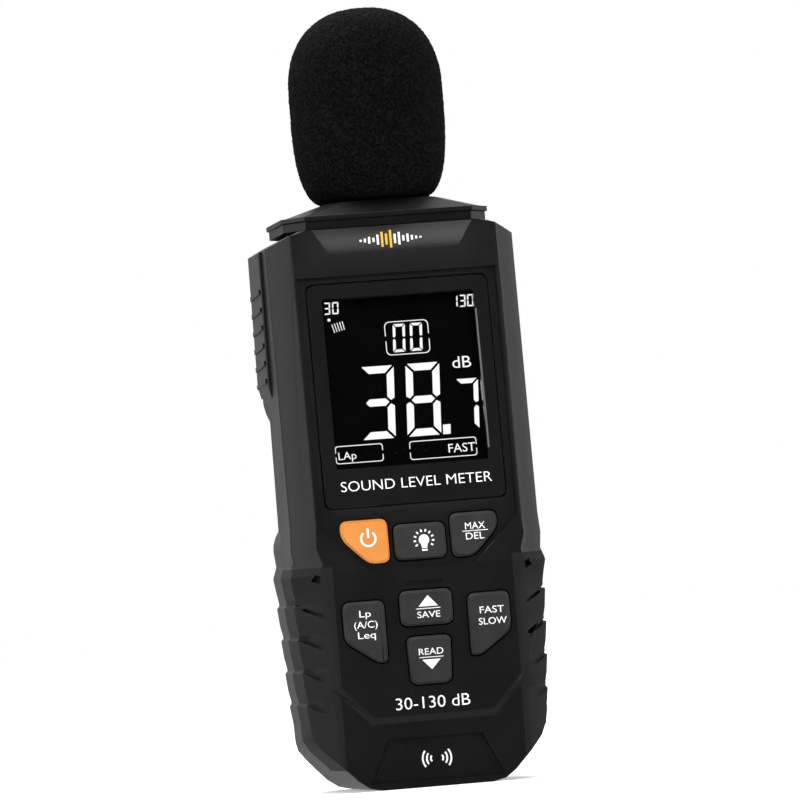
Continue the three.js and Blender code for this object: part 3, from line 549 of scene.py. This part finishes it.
# ---------------------------------------------------------------- repeated bars and the foam skin
def new_tree(name, inputs):
    """A geometry tree with named number inputs; returns it with its group input node."""
    tree = bpy.data.node_groups.new(name, "GeometryNodeTree")
    tree.interface.new_socket("Geometry", in_out="INPUT", socket_type="NodeSocketGeometry")
    tree.interface.new_socket("Geometry", in_out="OUTPUT", socket_type="NodeSocketGeometry")
    for label, kind in inputs:
        tree.interface.new_socket(label, in_out="INPUT", socket_type="NodeSocket" + kind)
    return tree, tree.nodes.new("NodeGroupInput")


def geo(tree, kind, settings=None, inputs=None):
    made = tree.nodes.new(kind)
    for key, value in (settings or {}).items():
        setattr(made, key, value)
    for key, value in (inputs or {}).items():
        if isinstance(value, bpy.types.NodeSocket):
            tree.links.new(value, made.inputs[key])
        else:
            made.inputs[key].default_value = value
    return made


def close_tree(tree, geometry, paint):
    real = geo(tree, "GeometryNodeRealizeInstances", inputs={"Geometry": geometry})
    dressed = geo(tree, "GeometryNodeSetMaterial", inputs={
        "Geometry": real.outputs[0], "Material": paint.material,
    })
    out = tree.nodes.new("NodeGroupOutput")
    tree.links.new(dressed.outputs[0], out.inputs[0])


def run_tree(obj, tree, values):
    """Puts a geometry tree on an object, sets its inputs by identifier and applies it."""
    modifier = obj.modifiers.new("shape", "NODES")
    modifier.node_group = tree
    for item in tree.interface.items_tree:
        if item.in_out == "INPUT" and item.name in values:
            modifier[item.identifier] = values[item.name]
    return settled(obj)


def fan_tree(paint):
    """Bars set out on an arc in the plane of x and z, each turned to point at the arc's centre."""
    tree, given = new_tree("bars_on_an_arc", [
        ("Count", "Int"), ("Radius", "Float"), ("Start", "Float"), ("Sweep", "Float"),
        ("Bar Length", "Float"), ("Bar Width", "Float"), ("Thickness", "Float"),
    ])
    value = given.outputs
    line = geo(tree, "GeometryNodeMeshLine", inputs={"Count": value["Count"], "Offset": (0, 0, 0)})
    index = geo(tree, "GeometryNodeInputIndex")
    last = geo(tree, "ShaderNodeMath", {"operation": "SUBTRACT"}, {0: value["Count"], 1: 1.0})
    share = geo(tree, "ShaderNodeMath", {"operation": "DIVIDE"}, {0: index.outputs[0], 1: last.outputs[0]})
    turn = geo(tree, "ShaderNodeMath", {"operation": "MULTIPLY_ADD"}, {
        0: share.outputs[0], 1: value["Sweep"], 2: value["Start"],
    })
    across = geo(tree, "ShaderNodeMath", {"operation": "COSINE"}, {0: turn.outputs[0]})
    up = geo(tree, "ShaderNodeMath", {"operation": "SINE"}, {0: turn.outputs[0]})
    spot = geo(tree, "ShaderNodeCombineXYZ", inputs={"X": across.outputs[0], "Z": up.outputs[0]})
    place = geo(tree, "ShaderNodeVectorMath", {"operation": "SCALE"}, {
        0: spot.outputs[0], "Scale": value["Radius"],
    })
    moved = geo(tree, "GeometryNodeSetPosition", inputs={
        "Geometry": line.outputs[0], "Position": place.outputs[0],
    })
    size = geo(tree, "ShaderNodeCombineXYZ", inputs={
        "X": value["Bar Length"], "Y": value["Thickness"], "Z": value["Bar Width"],
    })
    bar = geo(tree, "GeometryNodeMeshCube", inputs={"Size": size.outputs[0]})
    back = geo(tree, "ShaderNodeMath", {"operation": "MULTIPLY"}, {0: turn.outputs[0], 1: -1.0})
    spin = geo(tree, "ShaderNodeCombineXYZ", inputs={"Y": back.outputs[0]})
    bars = geo(tree, "GeometryNodeInstanceOnPoints", inputs={
        "Points": moved.outputs[0], "Instance": bar.outputs[0], "Rotation": spin.outputs[0],
    })
    close_tree(tree, bars.outputs[0], paint)
    return tree


def fan(name, tree, paint, body, centre, deep, values):
    """A fan of bars laid on the face at centre = (x, z)."""
    values = dict(values, Thickness=INK)
    piece = run_tree(add_mesh(name, bpy.data.meshes.new(name), paint), tree, values)
    for v in piece.data.vertices:
        x = centre[0] + v.co.x
        z = centre[1] + v.co.z
        v.co = (x, face_y(z, deep - INK / 2 + v.co.y), z)
    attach(piece, body)
    return piece


# ---------------------------------------------------------------- the camera
VIEW_TURN = math.radians(-13.0)
VIEW_RISE = math.radians(-0.9)
VIEW_ROLL = math.radians(4.44)
VIEW_DISTANCE = 2.0
VIEW_AIM = Vector((0.0, KEYPAD_Y, 93 * MM))
LENS_LENGTH = 378.0                                 # in millimetres, as the next one
SENSOR_WIDTH = 36.0


def make_camera():
    """A far camera slightly to the left of the meter and turned about its own axis."""
    back = Vector((math.sin(VIEW_TURN) * math.cos(VIEW_RISE), -math.cos(VIEW_TURN) * math.cos(VIEW_RISE),
                   math.sin(VIEW_RISE)))
    right = Vector((math.cos(VIEW_TURN), math.sin(VIEW_TURN), 0.0))
    up = back.cross(right)
    x_axis = math.cos(VIEW_ROLL) * right - math.sin(VIEW_ROLL) * up
    y_axis = math.sin(VIEW_ROLL) * right + math.cos(VIEW_ROLL) * up
    data = bpy.data.cameras.new("camera")
    data.lens = LENS_LENGTH
    data.sensor_width = SENSOR_WIDTH
    data.shift_x = -0.012
    data.shift_y = -0.0044
    camera = bpy.data.objects.new("camera", data)
    camera.matrix_world = Matrix.Translation(VIEW_AIM + back * VIEW_DISTANCE) @ Matrix(
        (x_axis, y_axis, back)).transposed().to_4x4()
    scene.collection.objects.link(camera)
    scene.camera = camera


make_camera()


# ---------------------------------------------------------------- floor and light
FLOOR_HALF = 3.0
LIT_MIDDLE = Vector((0.0, 0.0, 90 * MM))
ROOM_FRONT = 0.03        # how bright the room is in front of the meter, behind it and low down
ROOM_BACK = 0.5
ROOM_BELOW = 0.5


def make_floor():
    """A level pale floor."""
    paint = Paint("pale paper", Specular_IOR_Level=0.0, Emission_Color=grey(1.0), Emission_Strength=0.35)
    fibre = paint.noise(0.02, 2.0)
    paint.drive(Base_Color=paint.mix(fibre, grey(0.9), grey(0.93)), Roughness=0.9 + fibre * 0.05)
    paint.bump(fibre, 0.05 * MM)
    half = FLOOR_HALF
    mesh = bpy.data.meshes.new("paper")
    mesh.from_pydata([(-half, -half, 0), (half, -half, 0), (half, half, 0), (-half, half, 0)], [],
                     [(0, 1, 2, 3)])
    floor = add_mesh("paper", mesh, paint)
    floor.visible_glossy = False


def area_light(name, place, width, height, power):
    """A rectangular lamp that faces the middle of the meter."""
    data = bpy.data.lights.new(name, "AREA")
    data.shape = "RECTANGLE"
    data.size = width
    data.size_y = height
    data.energy = power
    light = bpy.data.objects.new(name, data)
    light.location = place
    light.rotation_euler = (LIT_MIDDLE - Vector(place)).to_track_quat("-Z", "Y").to_euler()
    scene.collection.objects.link(light)


def make_room():
    """White to the camera; for the light on the object it is dim in front and brighter behind."""
    world = bpy.data.worlds.new("room")
    scene.world = world
    world.use_nodes = True
    tree = world.node_tree
    ground = tree.nodes["Background"]
    ground.inputs["Color"].default_value = grey(1.0)
    towards = tree.nodes.new("ShaderNodeTexCoord")
    split = tree.nodes.new("ShaderNodeSeparateXYZ")
    fade = tree.nodes.new("ShaderNodeMapRange")
    fade.inputs["From Min"].default_value = -0.1
    fade.inputs["From Max"].default_value = 0.6
    fade.inputs["To Min"].default_value = ROOM_FRONT
    fade.inputs["To Max"].default_value = ROOM_BACK
    seen = tree.nodes.new("ShaderNodeLightPath")
    pick = tree.nodes.new("ShaderNodeMix")
    tree.links.new(towards.outputs["Generated"], split.inputs[0])
    tree.links.new(split.outputs["Y"], fade.inputs["Value"])
    below = tree.nodes.new("ShaderNodeMapRange")
    below.inputs["From Min"].default_value = -0.35
    below.inputs["From Max"].default_value = -0.7
    below.inputs["To Max"].default_value = ROOM_BELOW
    total = tree.nodes.new("ShaderNodeMath")
    tree.links.new(split.outputs["Z"], below.inputs["Value"])
    tree.links.new(fade.outputs[0], total.inputs[0])
    tree.links.new(below.outputs[0], total.inputs[1])
    tree.links.new(seen.outputs["Is Camera Ray"], pick.inputs[0])
    tree.links.new(total.outputs[0], pick.inputs[2])
    pick.inputs[3].default_value = 1.0
    tree.links.new(pick.outputs[0], ground.inputs["Strength"])


def make_light():
    """Two large windows, two upright strips for the side faces, a high front lamp and a soft ceiling."""
    area_light("left window", (-1.1, -0.2, 0.3), 1.0, 1.0, 5.0)
    area_light("left strip", (-0.85, -0.9, 0.1), 0.3, 1.2, 3.0)
    area_light("right window", (1.1, 0.2, 0.3), 0.8, 1.0, 2.2)
    area_light("right strip", (1.15, -0.48, 0.12), 0.25, 1.2, 7.0)
    area_light("high front", (-0.1, -0.62, 1.0), 1.0, 0.9, 10.0)
    data = bpy.data.lights.new("ceiling", "SUN")
    data.energy = 3.4
    data.angle = math.radians(70)
    ceiling = bpy.data.objects.new("ceiling", data)
    ceiling.rotation_euler = Vector((0.15, -0.35, -0.92)).to_track_quat("-Z", "Y").to_euler()
    scene.collection.objects.link(ceiling)


make_floor()
make_room()
make_light()


# ---------------------------------------------------------------- shells, cap, door and keys
SHELL_ROUND = 0.3 * MM                              # how far the edges are rounded
LID_ROUND = 0.15 * MM
KEY_ROUND = 0.28 * MM
SHELL_LEAST = 1.6 * MM                              # shorter edges stay sharp
LID_LEAST = 1.2 * MM
MARK_HALF = 4.2 * MM                                # finger mark above the up key
MARK_LOW = 48.2 * MM
MARK_HIGH = 49.1 * MM
MARK_DEEP = 0.35 * MM
TONGUE_INSET = 0.45 * MM                            # seam tongue, in from the outside


def slot_cutter():
    """A flat rounded bar that sinks the finger mark above the up key."""
    loop = rounded_box(-MARK_HALF, MARK_HALF, MARK_LOW, MARK_HIGH, 0.4 * MM)
    work = bmesh.new()
    front, back = [[work.verts.new((x, KEYPAD_Y + level, z)) for x, z in loop]
                   for level in (-1 * MM, MARK_DEEP)]
    work.faces.new(front)
    work.faces.new(back[::-1])
    band(work, front, back)
    return add_mesh("slot_cutter", outward_mesh("slot", work), case_paint)


softened("front_shell_skin", "front_shell", "casing", case_paint, SHELL_ROUND,
         least=SHELL_LEAST, side=-1, cutter=slot_cutter())
softened("rear_shell_skin", "rear_shell", "casing", case_paint, SHELL_ROUND,
         least=SHELL_LEAST, side=1)


def make_seal():
    """A dark tongue that fills the seam between the shells, set back from the outside."""
    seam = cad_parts["front_shell"].data
    rear = max(v.co.y for v in seam.vertices)
    fill = PARTING - rear
    work = bmesh.new()
    work.from_mesh(seam)
    bmesh.ops.remove_doubles(work, verts=work.verts, dist=WELD)
    away = [face for face in work.faces if any(v.co.y < rear - 0.01 * MM for v in face.verts)]
    bmesh.ops.delete(work, geom=away, context="FACES")
    ring = bmesh.ops.inset_region(work, faces=work.faces[:], thickness=TONGUE_INSET, use_even_offset=True)
    bmesh.ops.delete(work, geom=ring["faces"], context="FACES")
    raised = bmesh.ops.extrude_face_region(work, geom=work.faces[:], use_keep_orig=True)
    for made in raised["geom"]:
        if isinstance(made, bmesh.types.BMVert):
            made.co.y += fill
    finish_plate("seam_tongue", work, case_paint, "casing")


make_seal()
softened("top_cap_skin", "top_cap", "casing", cap_paint, LID_ROUND, least=LID_LEAST)
softened("battery_door_skin", "battery_door", "door", door_paint, LID_ROUND, least=LID_LEAST)
softened("key_power_skin", "key_power", "key_power", power_paint, KEY_ROUND, 3)
for key in ("key_light", "key_max", "key_mode", "key_up_save", "key_response", "key_down_read"):
    softened(key + "_skin", key, key, key_paint, KEY_ROUND, 3)


# ---------------------------------------------------------------- display window
WINDOW_HALF = 18.6 * MM
WINDOW_LOW = 76.9 * MM
WINDOW_HIGH = 117.6 * MM
LENS_CORNER = 1.8 * MM
LENS_EDGE = 0.12 * MM                               # bevel round the lens
LENS_THICK = 1.2 * MM
GLINT_LOW = 79.6                                    # painted highlight along the right edge of the window, in mm
GLINT_HIGH = 113.0


def make_lens():
    """A black border with a clear window in it, and a painted highlight on the right edge of the window's
    cut.
    """
    x0, x1 = LENS_LOW.x, LENS_HIGH.x
    z0, z1 = LENS_LOW.z, LENS_HIGH.z
    back = LENS_DEEP + LENS_THICK
    outer = rounded_box(x0, x1, z0, z1, LENS_CORNER)
    brow = rounded_box(x0 + LENS_EDGE, x1 - LENS_EDGE, z0 + LENS_EDGE, z1 - LENS_EDGE,
                       LENS_CORNER - LENS_EDGE)
    inner = rounded_box(-WINDOW_HALF, WINDOW_HALF, WINDOW_LOW, WINDOW_HIGH, 0.4 * MM)
    work = bmesh.new()
    rows = []
    for loop, level in ((outer, LENS_DEEP + LENS_EDGE), (brow, LENS_DEEP), (inner, LENS_DEEP),
                        (inner, back), (outer, back)):
        rows.append([work.verts.new((x, face_y(z, level), z)) for x, z in loop])
    for first, second in zip(rows, rows[1:] + rows[:1]):
        band(work, first, second)
    border = finish_plate("lens_border", work, lens_paint, "casing")
    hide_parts("display_lens")
    plate("lens_window", [inner], back, LENS_THICK, window_paint, "casing")
    edge = WINDOW_HALF / MM
    # painted highlight where light catches the window's right cut edge
    glint = [(edge + 0.1, GLINT_LOW), (edge + 0.55, GLINT_LOW), (edge + 0.45, GLINT_HIGH),
             (edge, GLINT_HIGH)]
    plate("lens_window_painted_glint", [mm(glint)], LENS_DEEP, INK, painted_glint_paint, "casing")


def segment_loops(x, z, width, height, stroke, lit, slant, gap):
    """The lit bars of a seven-segment digit whose lower left corner is (x, z), in millimetres."""
    w, h, s, g = width, height, stroke, gap
    m = h / 2
    bars = {
        "a": [(g, h), (w - g, h), (w - s - g, h - s), (s + g, h - s)],
        "d": [(g, 0), (s + g, s), (w - s - g, s), (w - g, 0)],
        "g": [(s * 0.5 + g, m), (s + g, m + s / 2), (w - s - g, m + s / 2), (w - s * 0.5 - g, m),
              (w - s - g, m - s / 2), (s + g, m - s / 2)],
        "f": [(0, h - g), (s, h - s - g), (s, m + s / 2 + g), (s * 0.5, m + g), (0, m + s * 0.3 + g)],
        "e": [(0, g), (0, m - s * 0.3 - g), (s * 0.5, m - g), (s, m - s / 2 - g), (s, s + g)],
        "b": [(w, h - g), (w, m + s * 0.3 + g), (w - s * 0.5, m + g), (w - s, m + s / 2 + g),
              (w - s, h - s - g)],
        "c": [(w, g), (w - s, s + g), (w - s, m - s / 2 - g), (w - s * 0.5, m - g),
              (w, m - s * 0.3 - g)],
    }
    return [mm([(x + px + pz * slant, z + pz) for px, pz in bars[name]]) for name in lit]


DIGITS = {"0": "abcdef", "1": "bc", "3": "abcdg", "7": "abc", "8": "abcdefg"}
SLANT = math.tan(math.radians(3.4))


def number_loops(text, x, z, width, height, stroke, pitch, gap):
    """The lit bars of a row of digits, each a pitch to the right of the one before."""
    loops = []
    for i, digit in enumerate(text):
        loops += segment_loops(x + i * pitch, z, width, height, stroke, DIGITS[digit], SLANT, gap)
    return loops


def broken_frame(x0, x1, z0, z1, stroke, radius, opening):
    """A thin rounded frame with an opening half way up each side, as two open bands."""
    outer = rounded_box(x0, x1, z0, z1, radius)
    inner = rounded_box(x0 + stroke, x1 - stroke, z0 + stroke, z1 - stroke, radius - stroke * 0.6)
    middle = (z0 + z1) / 2
    loops = []
    half = len(outer) // 2
    for side, edge in ((range(half), middle + opening / 2), (range(half, 2 * half), middle - opening / 2)):
        picks = list(side)
        first, last = outer[picks[0]], outer[picks[-1]]
        path_out = [(first[0], edge)] + [outer[i] for i in picks] + [(last[0], edge)]
        path_in = [(inner[picks[0]][0], edge)] + [inner[i] for i in picks] + [(inner[picks[-1]][0], edge)]
        for a, b, c, d in zip(path_out, path_out[1:], path_in[1:], path_in):
            loops.append(mm([a, b, c, d]))
    return loops


def make_display():
    """The figures, frames, words and level scale that are lit on the display glass."""
    deep = GLASS_DEEP
    loops = number_loops("38", -11.2, 83.5, 8.3, 17.4, 1.75, 11.2, 0.42)
    loops += number_loops("7", 12.1, 84.1, 5.65, 12.3, 1.15, 0, 0.34)
    loops += number_loops("00", -1.6, 103.9, 3.0, 6.7, 0.64, 4.2, 0.18)
    loops += number_loops("30", -17.7, 114.0, 1.55, 2.9, 0.34, 2.05, 0.06)
    loops += number_loops("130", 13.6, 113.6, 1.55, 2.9, 0.34, 1.95, 0.06)
    loops.append(mm([(8.75, 83.5), (10.6, 83.5), (10.75, 85.8), (8.9, 85.8)]))
    loops.append(mm([(-16.6 + 0.38 * math.cos(t), 112.7 + 0.38 * math.sin(t))
                     for t in np.linspace(0, 2 * math.pi, 16, endpoint=False)]))
    plate("display_digits", loops, deep, INK, lit_paint, "casing")
    frames = broken_frame(-3.3, 7.5, 103.2, 111.3, 0.2, 1.2, 1.2)
    frames += broken_frame(-18.0, -6.3, 78.2, 82.5, 0.2, 0.7, 0.9)
    frames += broken_frame(0.2, 16.7, 77.9, 82.4, 0.2, 0.7, 0.9)
    plate("display_frames", frames, deep, INK, lit_paint, "casing")
    lettering("display_words", [
        ("dB", 14.85, 99.1, 4.6, 2.9), ("LAp", -15.1, 79.2, 4.4, 1.9), ("FAST", 13.0, 79.0, 6.6, 2.2),
    ], lit_paint, "casing", deep)
    tree = fan_tree(lit_paint)
    fan("display_scale", tree, lit_paint, "casing", (-5.6 * MM, 71.9 * MM), deep, {
        "Count": 5, "Radius": 40 * MM, "Start": math.radians(104.7), "Sweep": math.radians(-3.7),
        "Bar Length": 2.1 * MM, "Bar Width": 0.19 * MM,
    })


make_lens()
make_display()


# ---------------------------------------------------------------- prints
def symbol_strip(outer, inner, steps, centre_x, centre_z):
    """Short flat quads, in metres, that follow an arc between two radii in millimetres."""
    return [mm([(centre_x + r * math.cos(t), centre_z + r * math.sin(t))
                for r, t in ((outer, a), (outer, b), (inner, b), (inner, a))])
            for a, b in zip(steps, steps[1:])]


def make_prints():
    """Words and symbols on the lens, the casing and the keys. Their places are in millimetres."""
    lettering("title_print", [("SOUND LEVEL METER", 0.5, 71.5, 37.0, 2.55)], ink_paint, "casing",
              LENS_DEEP, weight=-0.008)
    lettering("range_print", [("30-130 dB", -0.05, 18.8, 18.2, 2.95)], ink_paint, "casing",
              0.0, weight=-0.004)
    lower = -KEY_PROUD
    upper = POCKET_DEEP - KEY_PROUD

    def bar(x, z, length, thick=0.17):
        return mm([(x - length / 2, z), (x + length / 2, z), (x + length / 2, z + thick),
                   (x - length / 2, z + thick)])

    def print_words(key, words, deep):
        lettering(key + "_words", words, ink_paint, key, deep)

    print_words("key_max", [("MAX", 13.6, 60.45, 4.9, 1.7), ("DEL", 13.4, 58.0, 4.5, 1.7)], upper)
    plate("key_max_line", [bar(13.5, 59.95, 6.3)], upper, INK, ink_paint, "key_max")
    print_words("key_up_save", [("SAVE", 0.35, 40.25, 5.6, 1.6)], lower)
    plate("key_up_arrow", [mm([(-2.0, 42.95), (2.75, 42.95), (0.38, 45.55)]), bar(0.3, 42.35, 5.95)], lower,
          INK, ink_paint, "key_up_save")
    print_words("key_down_read", [("READ", 0.2, 31.45, 6.0, 1.6)], lower)
    plate("key_down_arrow", [mm([(-2.1, 30.3), (0.15, 27.9), (2.4, 30.3)]), bar(0.2, 30.75, 5.85)], lower,
          INK, ink_paint, "key_down_read")
    print_words("key_mode", [
        ("Lp", -15.15, 41.5, 2.8, 1.7), ("(A/C)", -15.15, 38.9, 5.7, 1.7), ("Leq", -15.1, 36.4, 4.3, 1.7),
    ], lower)
    print_words("key_response", [("FAST", 15.8, 40.2, 5.9, 1.7), ("SLOW", 15.85, 37.5, 6.9, 1.7)], lower)

    # power symbol: a ring open at the top, with a bar in the opening
    centre_x, centre_z, radius, stroke = -12.65, 60.0, 1.75, 0.5
    arc = [math.radians(90 + 38 + (360 - 76) * i / 28) for i in range(29)]
    loops = symbol_strip(radius + stroke / 2, radius - stroke / 2, arc, centre_x, centre_z)
    loops.append(mm([(centre_x - stroke / 2, centre_z + 0.2), (centre_x + stroke / 2, centre_z + 0.2),
                     (centre_x + stroke / 2, centre_z + 2.45), (centre_x - stroke / 2, centre_z + 2.45)]))
    plate("power_symbol", loops, upper, INK, ink_paint, "key_power")

    # light symbol: a bulb with short rays
    bulb_x, bulb_z = 0.85, 58.75
    bulb = [(bulb_x + 1.28 * math.cos(t), bulb_z + 1.28 * math.sin(t))
            for t in np.radians(np.linspace(-52, 232, 24))]
    bulb += [(bulb_x - 0.62, bulb_z - 1.95), (bulb_x + 0.62, bulb_z - 1.95)]
    foot = [(bulb_x - 0.68, bulb_z - 2.65), (bulb_x + 0.68, bulb_z - 2.65), (bulb_x + 0.68, bulb_z - 2.2),
            (bulb_x - 0.68, bulb_z - 2.2)]
    plate("light_symbol", [mm(bulb), mm(foot)], upper, INK, ink_paint, "key_light")
    tree = fan_tree(ink_paint)
    fan("light_rays", tree, ink_paint, "key_light", (bulb_x * MM, bulb_z * MM), upper, {
        "Count": 10, "Radius": 2.25 * MM, "Start": math.radians(-33), "Sweep": math.radians(246),
        "Bar Length": 0.62 * MM, "Bar Width": 0.4 * MM,
    })

    # sound wave mark at the top and a speaker-wave mark at the bottom
    heights = [0.5, 0.9, 1.6, 1.0, 2.4, 3.6, 2.6, 4.2, 2.2, 3.0, 1.3, 1.9, 1.1, 0.7, 0.4]
    wave, accent = [], []
    for i, high in enumerate(heights):
        x = (i - (len(heights) - 1) / 2) * 1.05 - 0.4
        loop = mm([(x - 0.26, 131.0 - high / 2), (x + 0.26, 131.0 - high / 2), (x + 0.26, 131.0 + high / 2),
                   (x - 0.26, 131.0 + high / 2)])
        (accent if 4 < i < 8 else wave).append(loop)
    plate("wave_mark", wave, CREST_DEEP, INK, ink_paint, "casing")
    plate("wave_mark_accent", accent, CREST_DEEP, INK, amber_paint, "casing")
    ripples = []
    steps = np.radians(np.linspace(-38, 38, 10))
    for radius in (1.1, 2.1, 3.1):
        ripples += symbol_strip(radius + 0.22, radius - 0.22, steps, 0.6, 6.7)
        ripples += symbol_strip(radius + 0.22, radius - 0.22, math.pi - steps, -0.2, 6.7)
    plate("ripple_mark", ripples, CHIN_DEEP, INK, ink_paint, "casing")


make_prints()


# ---------------------------------------------------------------- foam windscreen
def foam_tree(paint):
    """Moves each point of the foam along its normal, by the cells of its pores and by a slow swell."""
    tree, given = new_tree("foam_pores", [
        ("Pore Size", "Float"), ("Pore Depth", "Float"), ("Sag", "Float"),
    ])
    value = given.outputs
    scale = geo(tree, "ShaderNodeMath", {"operation": "DIVIDE"}, {0: 1.0, 1: value["Pore Size"]})
    cells = geo(tree, "ShaderNodeTexVoronoi", {"feature": "F1"}, {"Scale": scale.outputs[0]})
    swell = geo(tree, "ShaderNodeTexNoise", inputs={"Scale": 70.0, "Detail": 2.0})
    inward = geo(tree, "ShaderNodeMath", {"operation": "MULTIPLY"}, {
        0: cells.outputs["Distance"], 1: value["Pore Depth"],
    })
    slow = geo(tree, "ShaderNodeMath", {"operation": "MULTIPLY_ADD"}, {
        0: swell.outputs[0], 1: value["Sag"], 2: inward.outputs[0],
    })
    normal = geo(tree, "GeometryNodeInputNormal")
    shift = geo(tree, "ShaderNodeVectorMath", {"operation": "SCALE"}, {
        0: normal.outputs[0], "Scale": slow.outputs[0],
    })
    moved = geo(tree, "GeometryNodeSetPosition", inputs={
        "Geometry": given.outputs["Geometry"], "Offset": shift.outputs[0],
    })
    close_tree(tree, moved.outputs[0], paint)
    return tree


FOAM_LOW, FOAM_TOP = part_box("foam_windscreen")
FOAM_MIDDLE = (FOAM_LOW + FOAM_TOP) / 2
FOAM_HIGH = 46.6 * MM
FOAM_FOOT_Z = FOAM_TOP.z - FOAM_HIGH
FOAM_BELLY = 22 * MM                                # height of its widest stretch above its foot
FOAM_BAND = 4 * MM                                  # length of that stretch
FOAM_FOOT = 11 * MM                                 # radius of its underside
FOAM_BORE = 6.9 * MM
FOAM_BORE_DEEP = 30 * MM
FOAM_FOOT_ROUND = 0.75                              # exponents: below 1 is fuller than an ellipse
FOAM_TOP_ROUND = 0.87
FOAM_STEP = 0.42 * MM                               # between rows of points
FOAM_SIDES = 260
ROOF_FALL = math.tan(math.radians(3.2))             # the roof, and the underside that lies on it, fall back
ROOF_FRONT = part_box("top_cap")[0].y


def foam_profile():
    """The outside of the windscreen as (radius, z) from its foot to its top, just inside its CAD form."""
    radius = (FOAM_TOP.x - FOAM_LOW.x) / 2 - 0.15 * MM
    belly = FOAM_FOOT_Z + FOAM_BELLY
    shoulder = belly + FOAM_BAND
    top = FOAM_TOP.z - 0.1 * MM
    profile = []
    for i in range(41):
        t = math.radians(90 * i / 40)
        profile.append((FOAM_FOOT + (radius - FOAM_FOOT) * math.sin(t) ** FOAM_FOOT_ROUND,
                        belly - FOAM_BELLY * math.cos(t) ** FOAM_FOOT_ROUND))
    for i in range(60):
        t = math.radians(90 * i / 60)
        profile.append((radius * math.cos(t) ** FOAM_TOP_ROUND,
                        shoulder + (top - shoulder) * math.sin(t) ** FOAM_TOP_ROUND))
    profile.append((0.0, top))
    return profile


def resampled(profile, step):
    """The same line with points a fixed step apart."""
    points = [Vector((r, z)) for r, z in profile]
    lengths = [0.0]
    for a, b in zip(points, points[1:]):
        lengths.append(lengths[-1] + (b - a).length)
    count = int(lengths[-1] / step)
    radii = np.interp(np.linspace(0, lengths[-1], count), lengths, [p.x for p in points])
    heights = np.interp(np.linspace(0, lengths[-1], count), lengths, [p.y for p in points])
    return list(zip(radii, heights))


def make_foam():
    """The windscreen turned round the microphone: bore, underside and outside as one closed skin."""
    bore = FOAM_BORE
    deep = FOAM_FOOT_Z + FOAM_BORE_DEEP
    line = [(0.0, deep), (bore - 0.8 * MM, deep), (bore, deep - 0.8 * MM), (bore, FOAM_FOOT_Z)]
    line = resampled(line + foam_profile(), FOAM_STEP)
    sides = FOAM_SIDES
    verts, faces = [], []
    for i, (r, z) in enumerate(line):
        share = min(1.0, max(0.0, (FOAM_FOOT_Z + FOAM_BELLY - z) / FOAM_BELLY))
        for k in range(sides):
            t = 2 * math.pi * (k + 0.5 * (i % 2)) / sides
            x = FOAM_MIDDLE.x + r * math.cos(t)
            y = FOAM_MIDDLE.y + r * math.sin(t)
            verts.append((x, y, z - share * (y - ROOF_FRONT) * ROOF_FALL))
    for i in range(len(line) - 1):
        for k in range(sides):
            a, b = i * sides + k, i * sides + (k + 1) % sides
            faces.append((a, b, b + sides, a + sides))
    mesh = bpy.data.meshes.new("foam")
    mesh.from_pydata(verts, [], faces)
    work = bmesh.new()
    work.from_mesh(mesh)
    bmesh.ops.remove_doubles(work, verts=work.verts, dist=0.01 * MM)
    bmesh.ops.recalc_face_normals(work, faces=work.faces)
    work.to_mesh(mesh)
    work.free()
    piece = add_mesh("foam_ball", mesh, foam_paint)
    run_tree(piece, foam_tree(foam_paint), {
        "Pore Size": 0.8 * MM, "Pore Depth": -0.35 * MM, "Sag": -0.25 * MM,
    })
    piece.data.shade_smooth()
    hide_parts("foam_windscreen")
    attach(piece, "windscreen")


make_foam()


# ---------------------------------------------------------------- pieces that keep their CAD form
NODE_PAINTS = {
    "lcd_glass": display_paint, "lcd_frame": guide_paint, "backlight_panel": guide_paint,
    "keypad_mat": mat_paint, "key_board": board_paint, "main_board": board_paint,
    "processor_chip": chip_paint, "amplifier_chip": chip_paint, "board_header": chip_paint,
    "mic_tube": cap_paint, "mic_capsule": steel_paint, "mic_grid": steel_paint, "mic_gasket": mat_paint,
    "mic_lead": lead_paint, "spring_plate": strip_paint, "button_plate": strip_paint,
    "tripod_insert": brass_paint,
}
NODE_FAMILIES = {
    "dome_switch": steel_paint, "board_screw": steel_paint, "case_screw": steel_paint,
    "battery_spring": steel_paint, "battery_1": cell_paint, "battery_2": cell_paint,
    "battery_3": cell_paint,
}
for name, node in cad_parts.items():
    chosen = NODE_PAINTS.get(name)
    for stem, paint in NODE_FAMILIES.items():
        if name.startswith(stem):
            chosen = paint
    if chosen and not node.hide_render:
        node.data.materials.clear()
        node.data.materials.append(chosen.material)
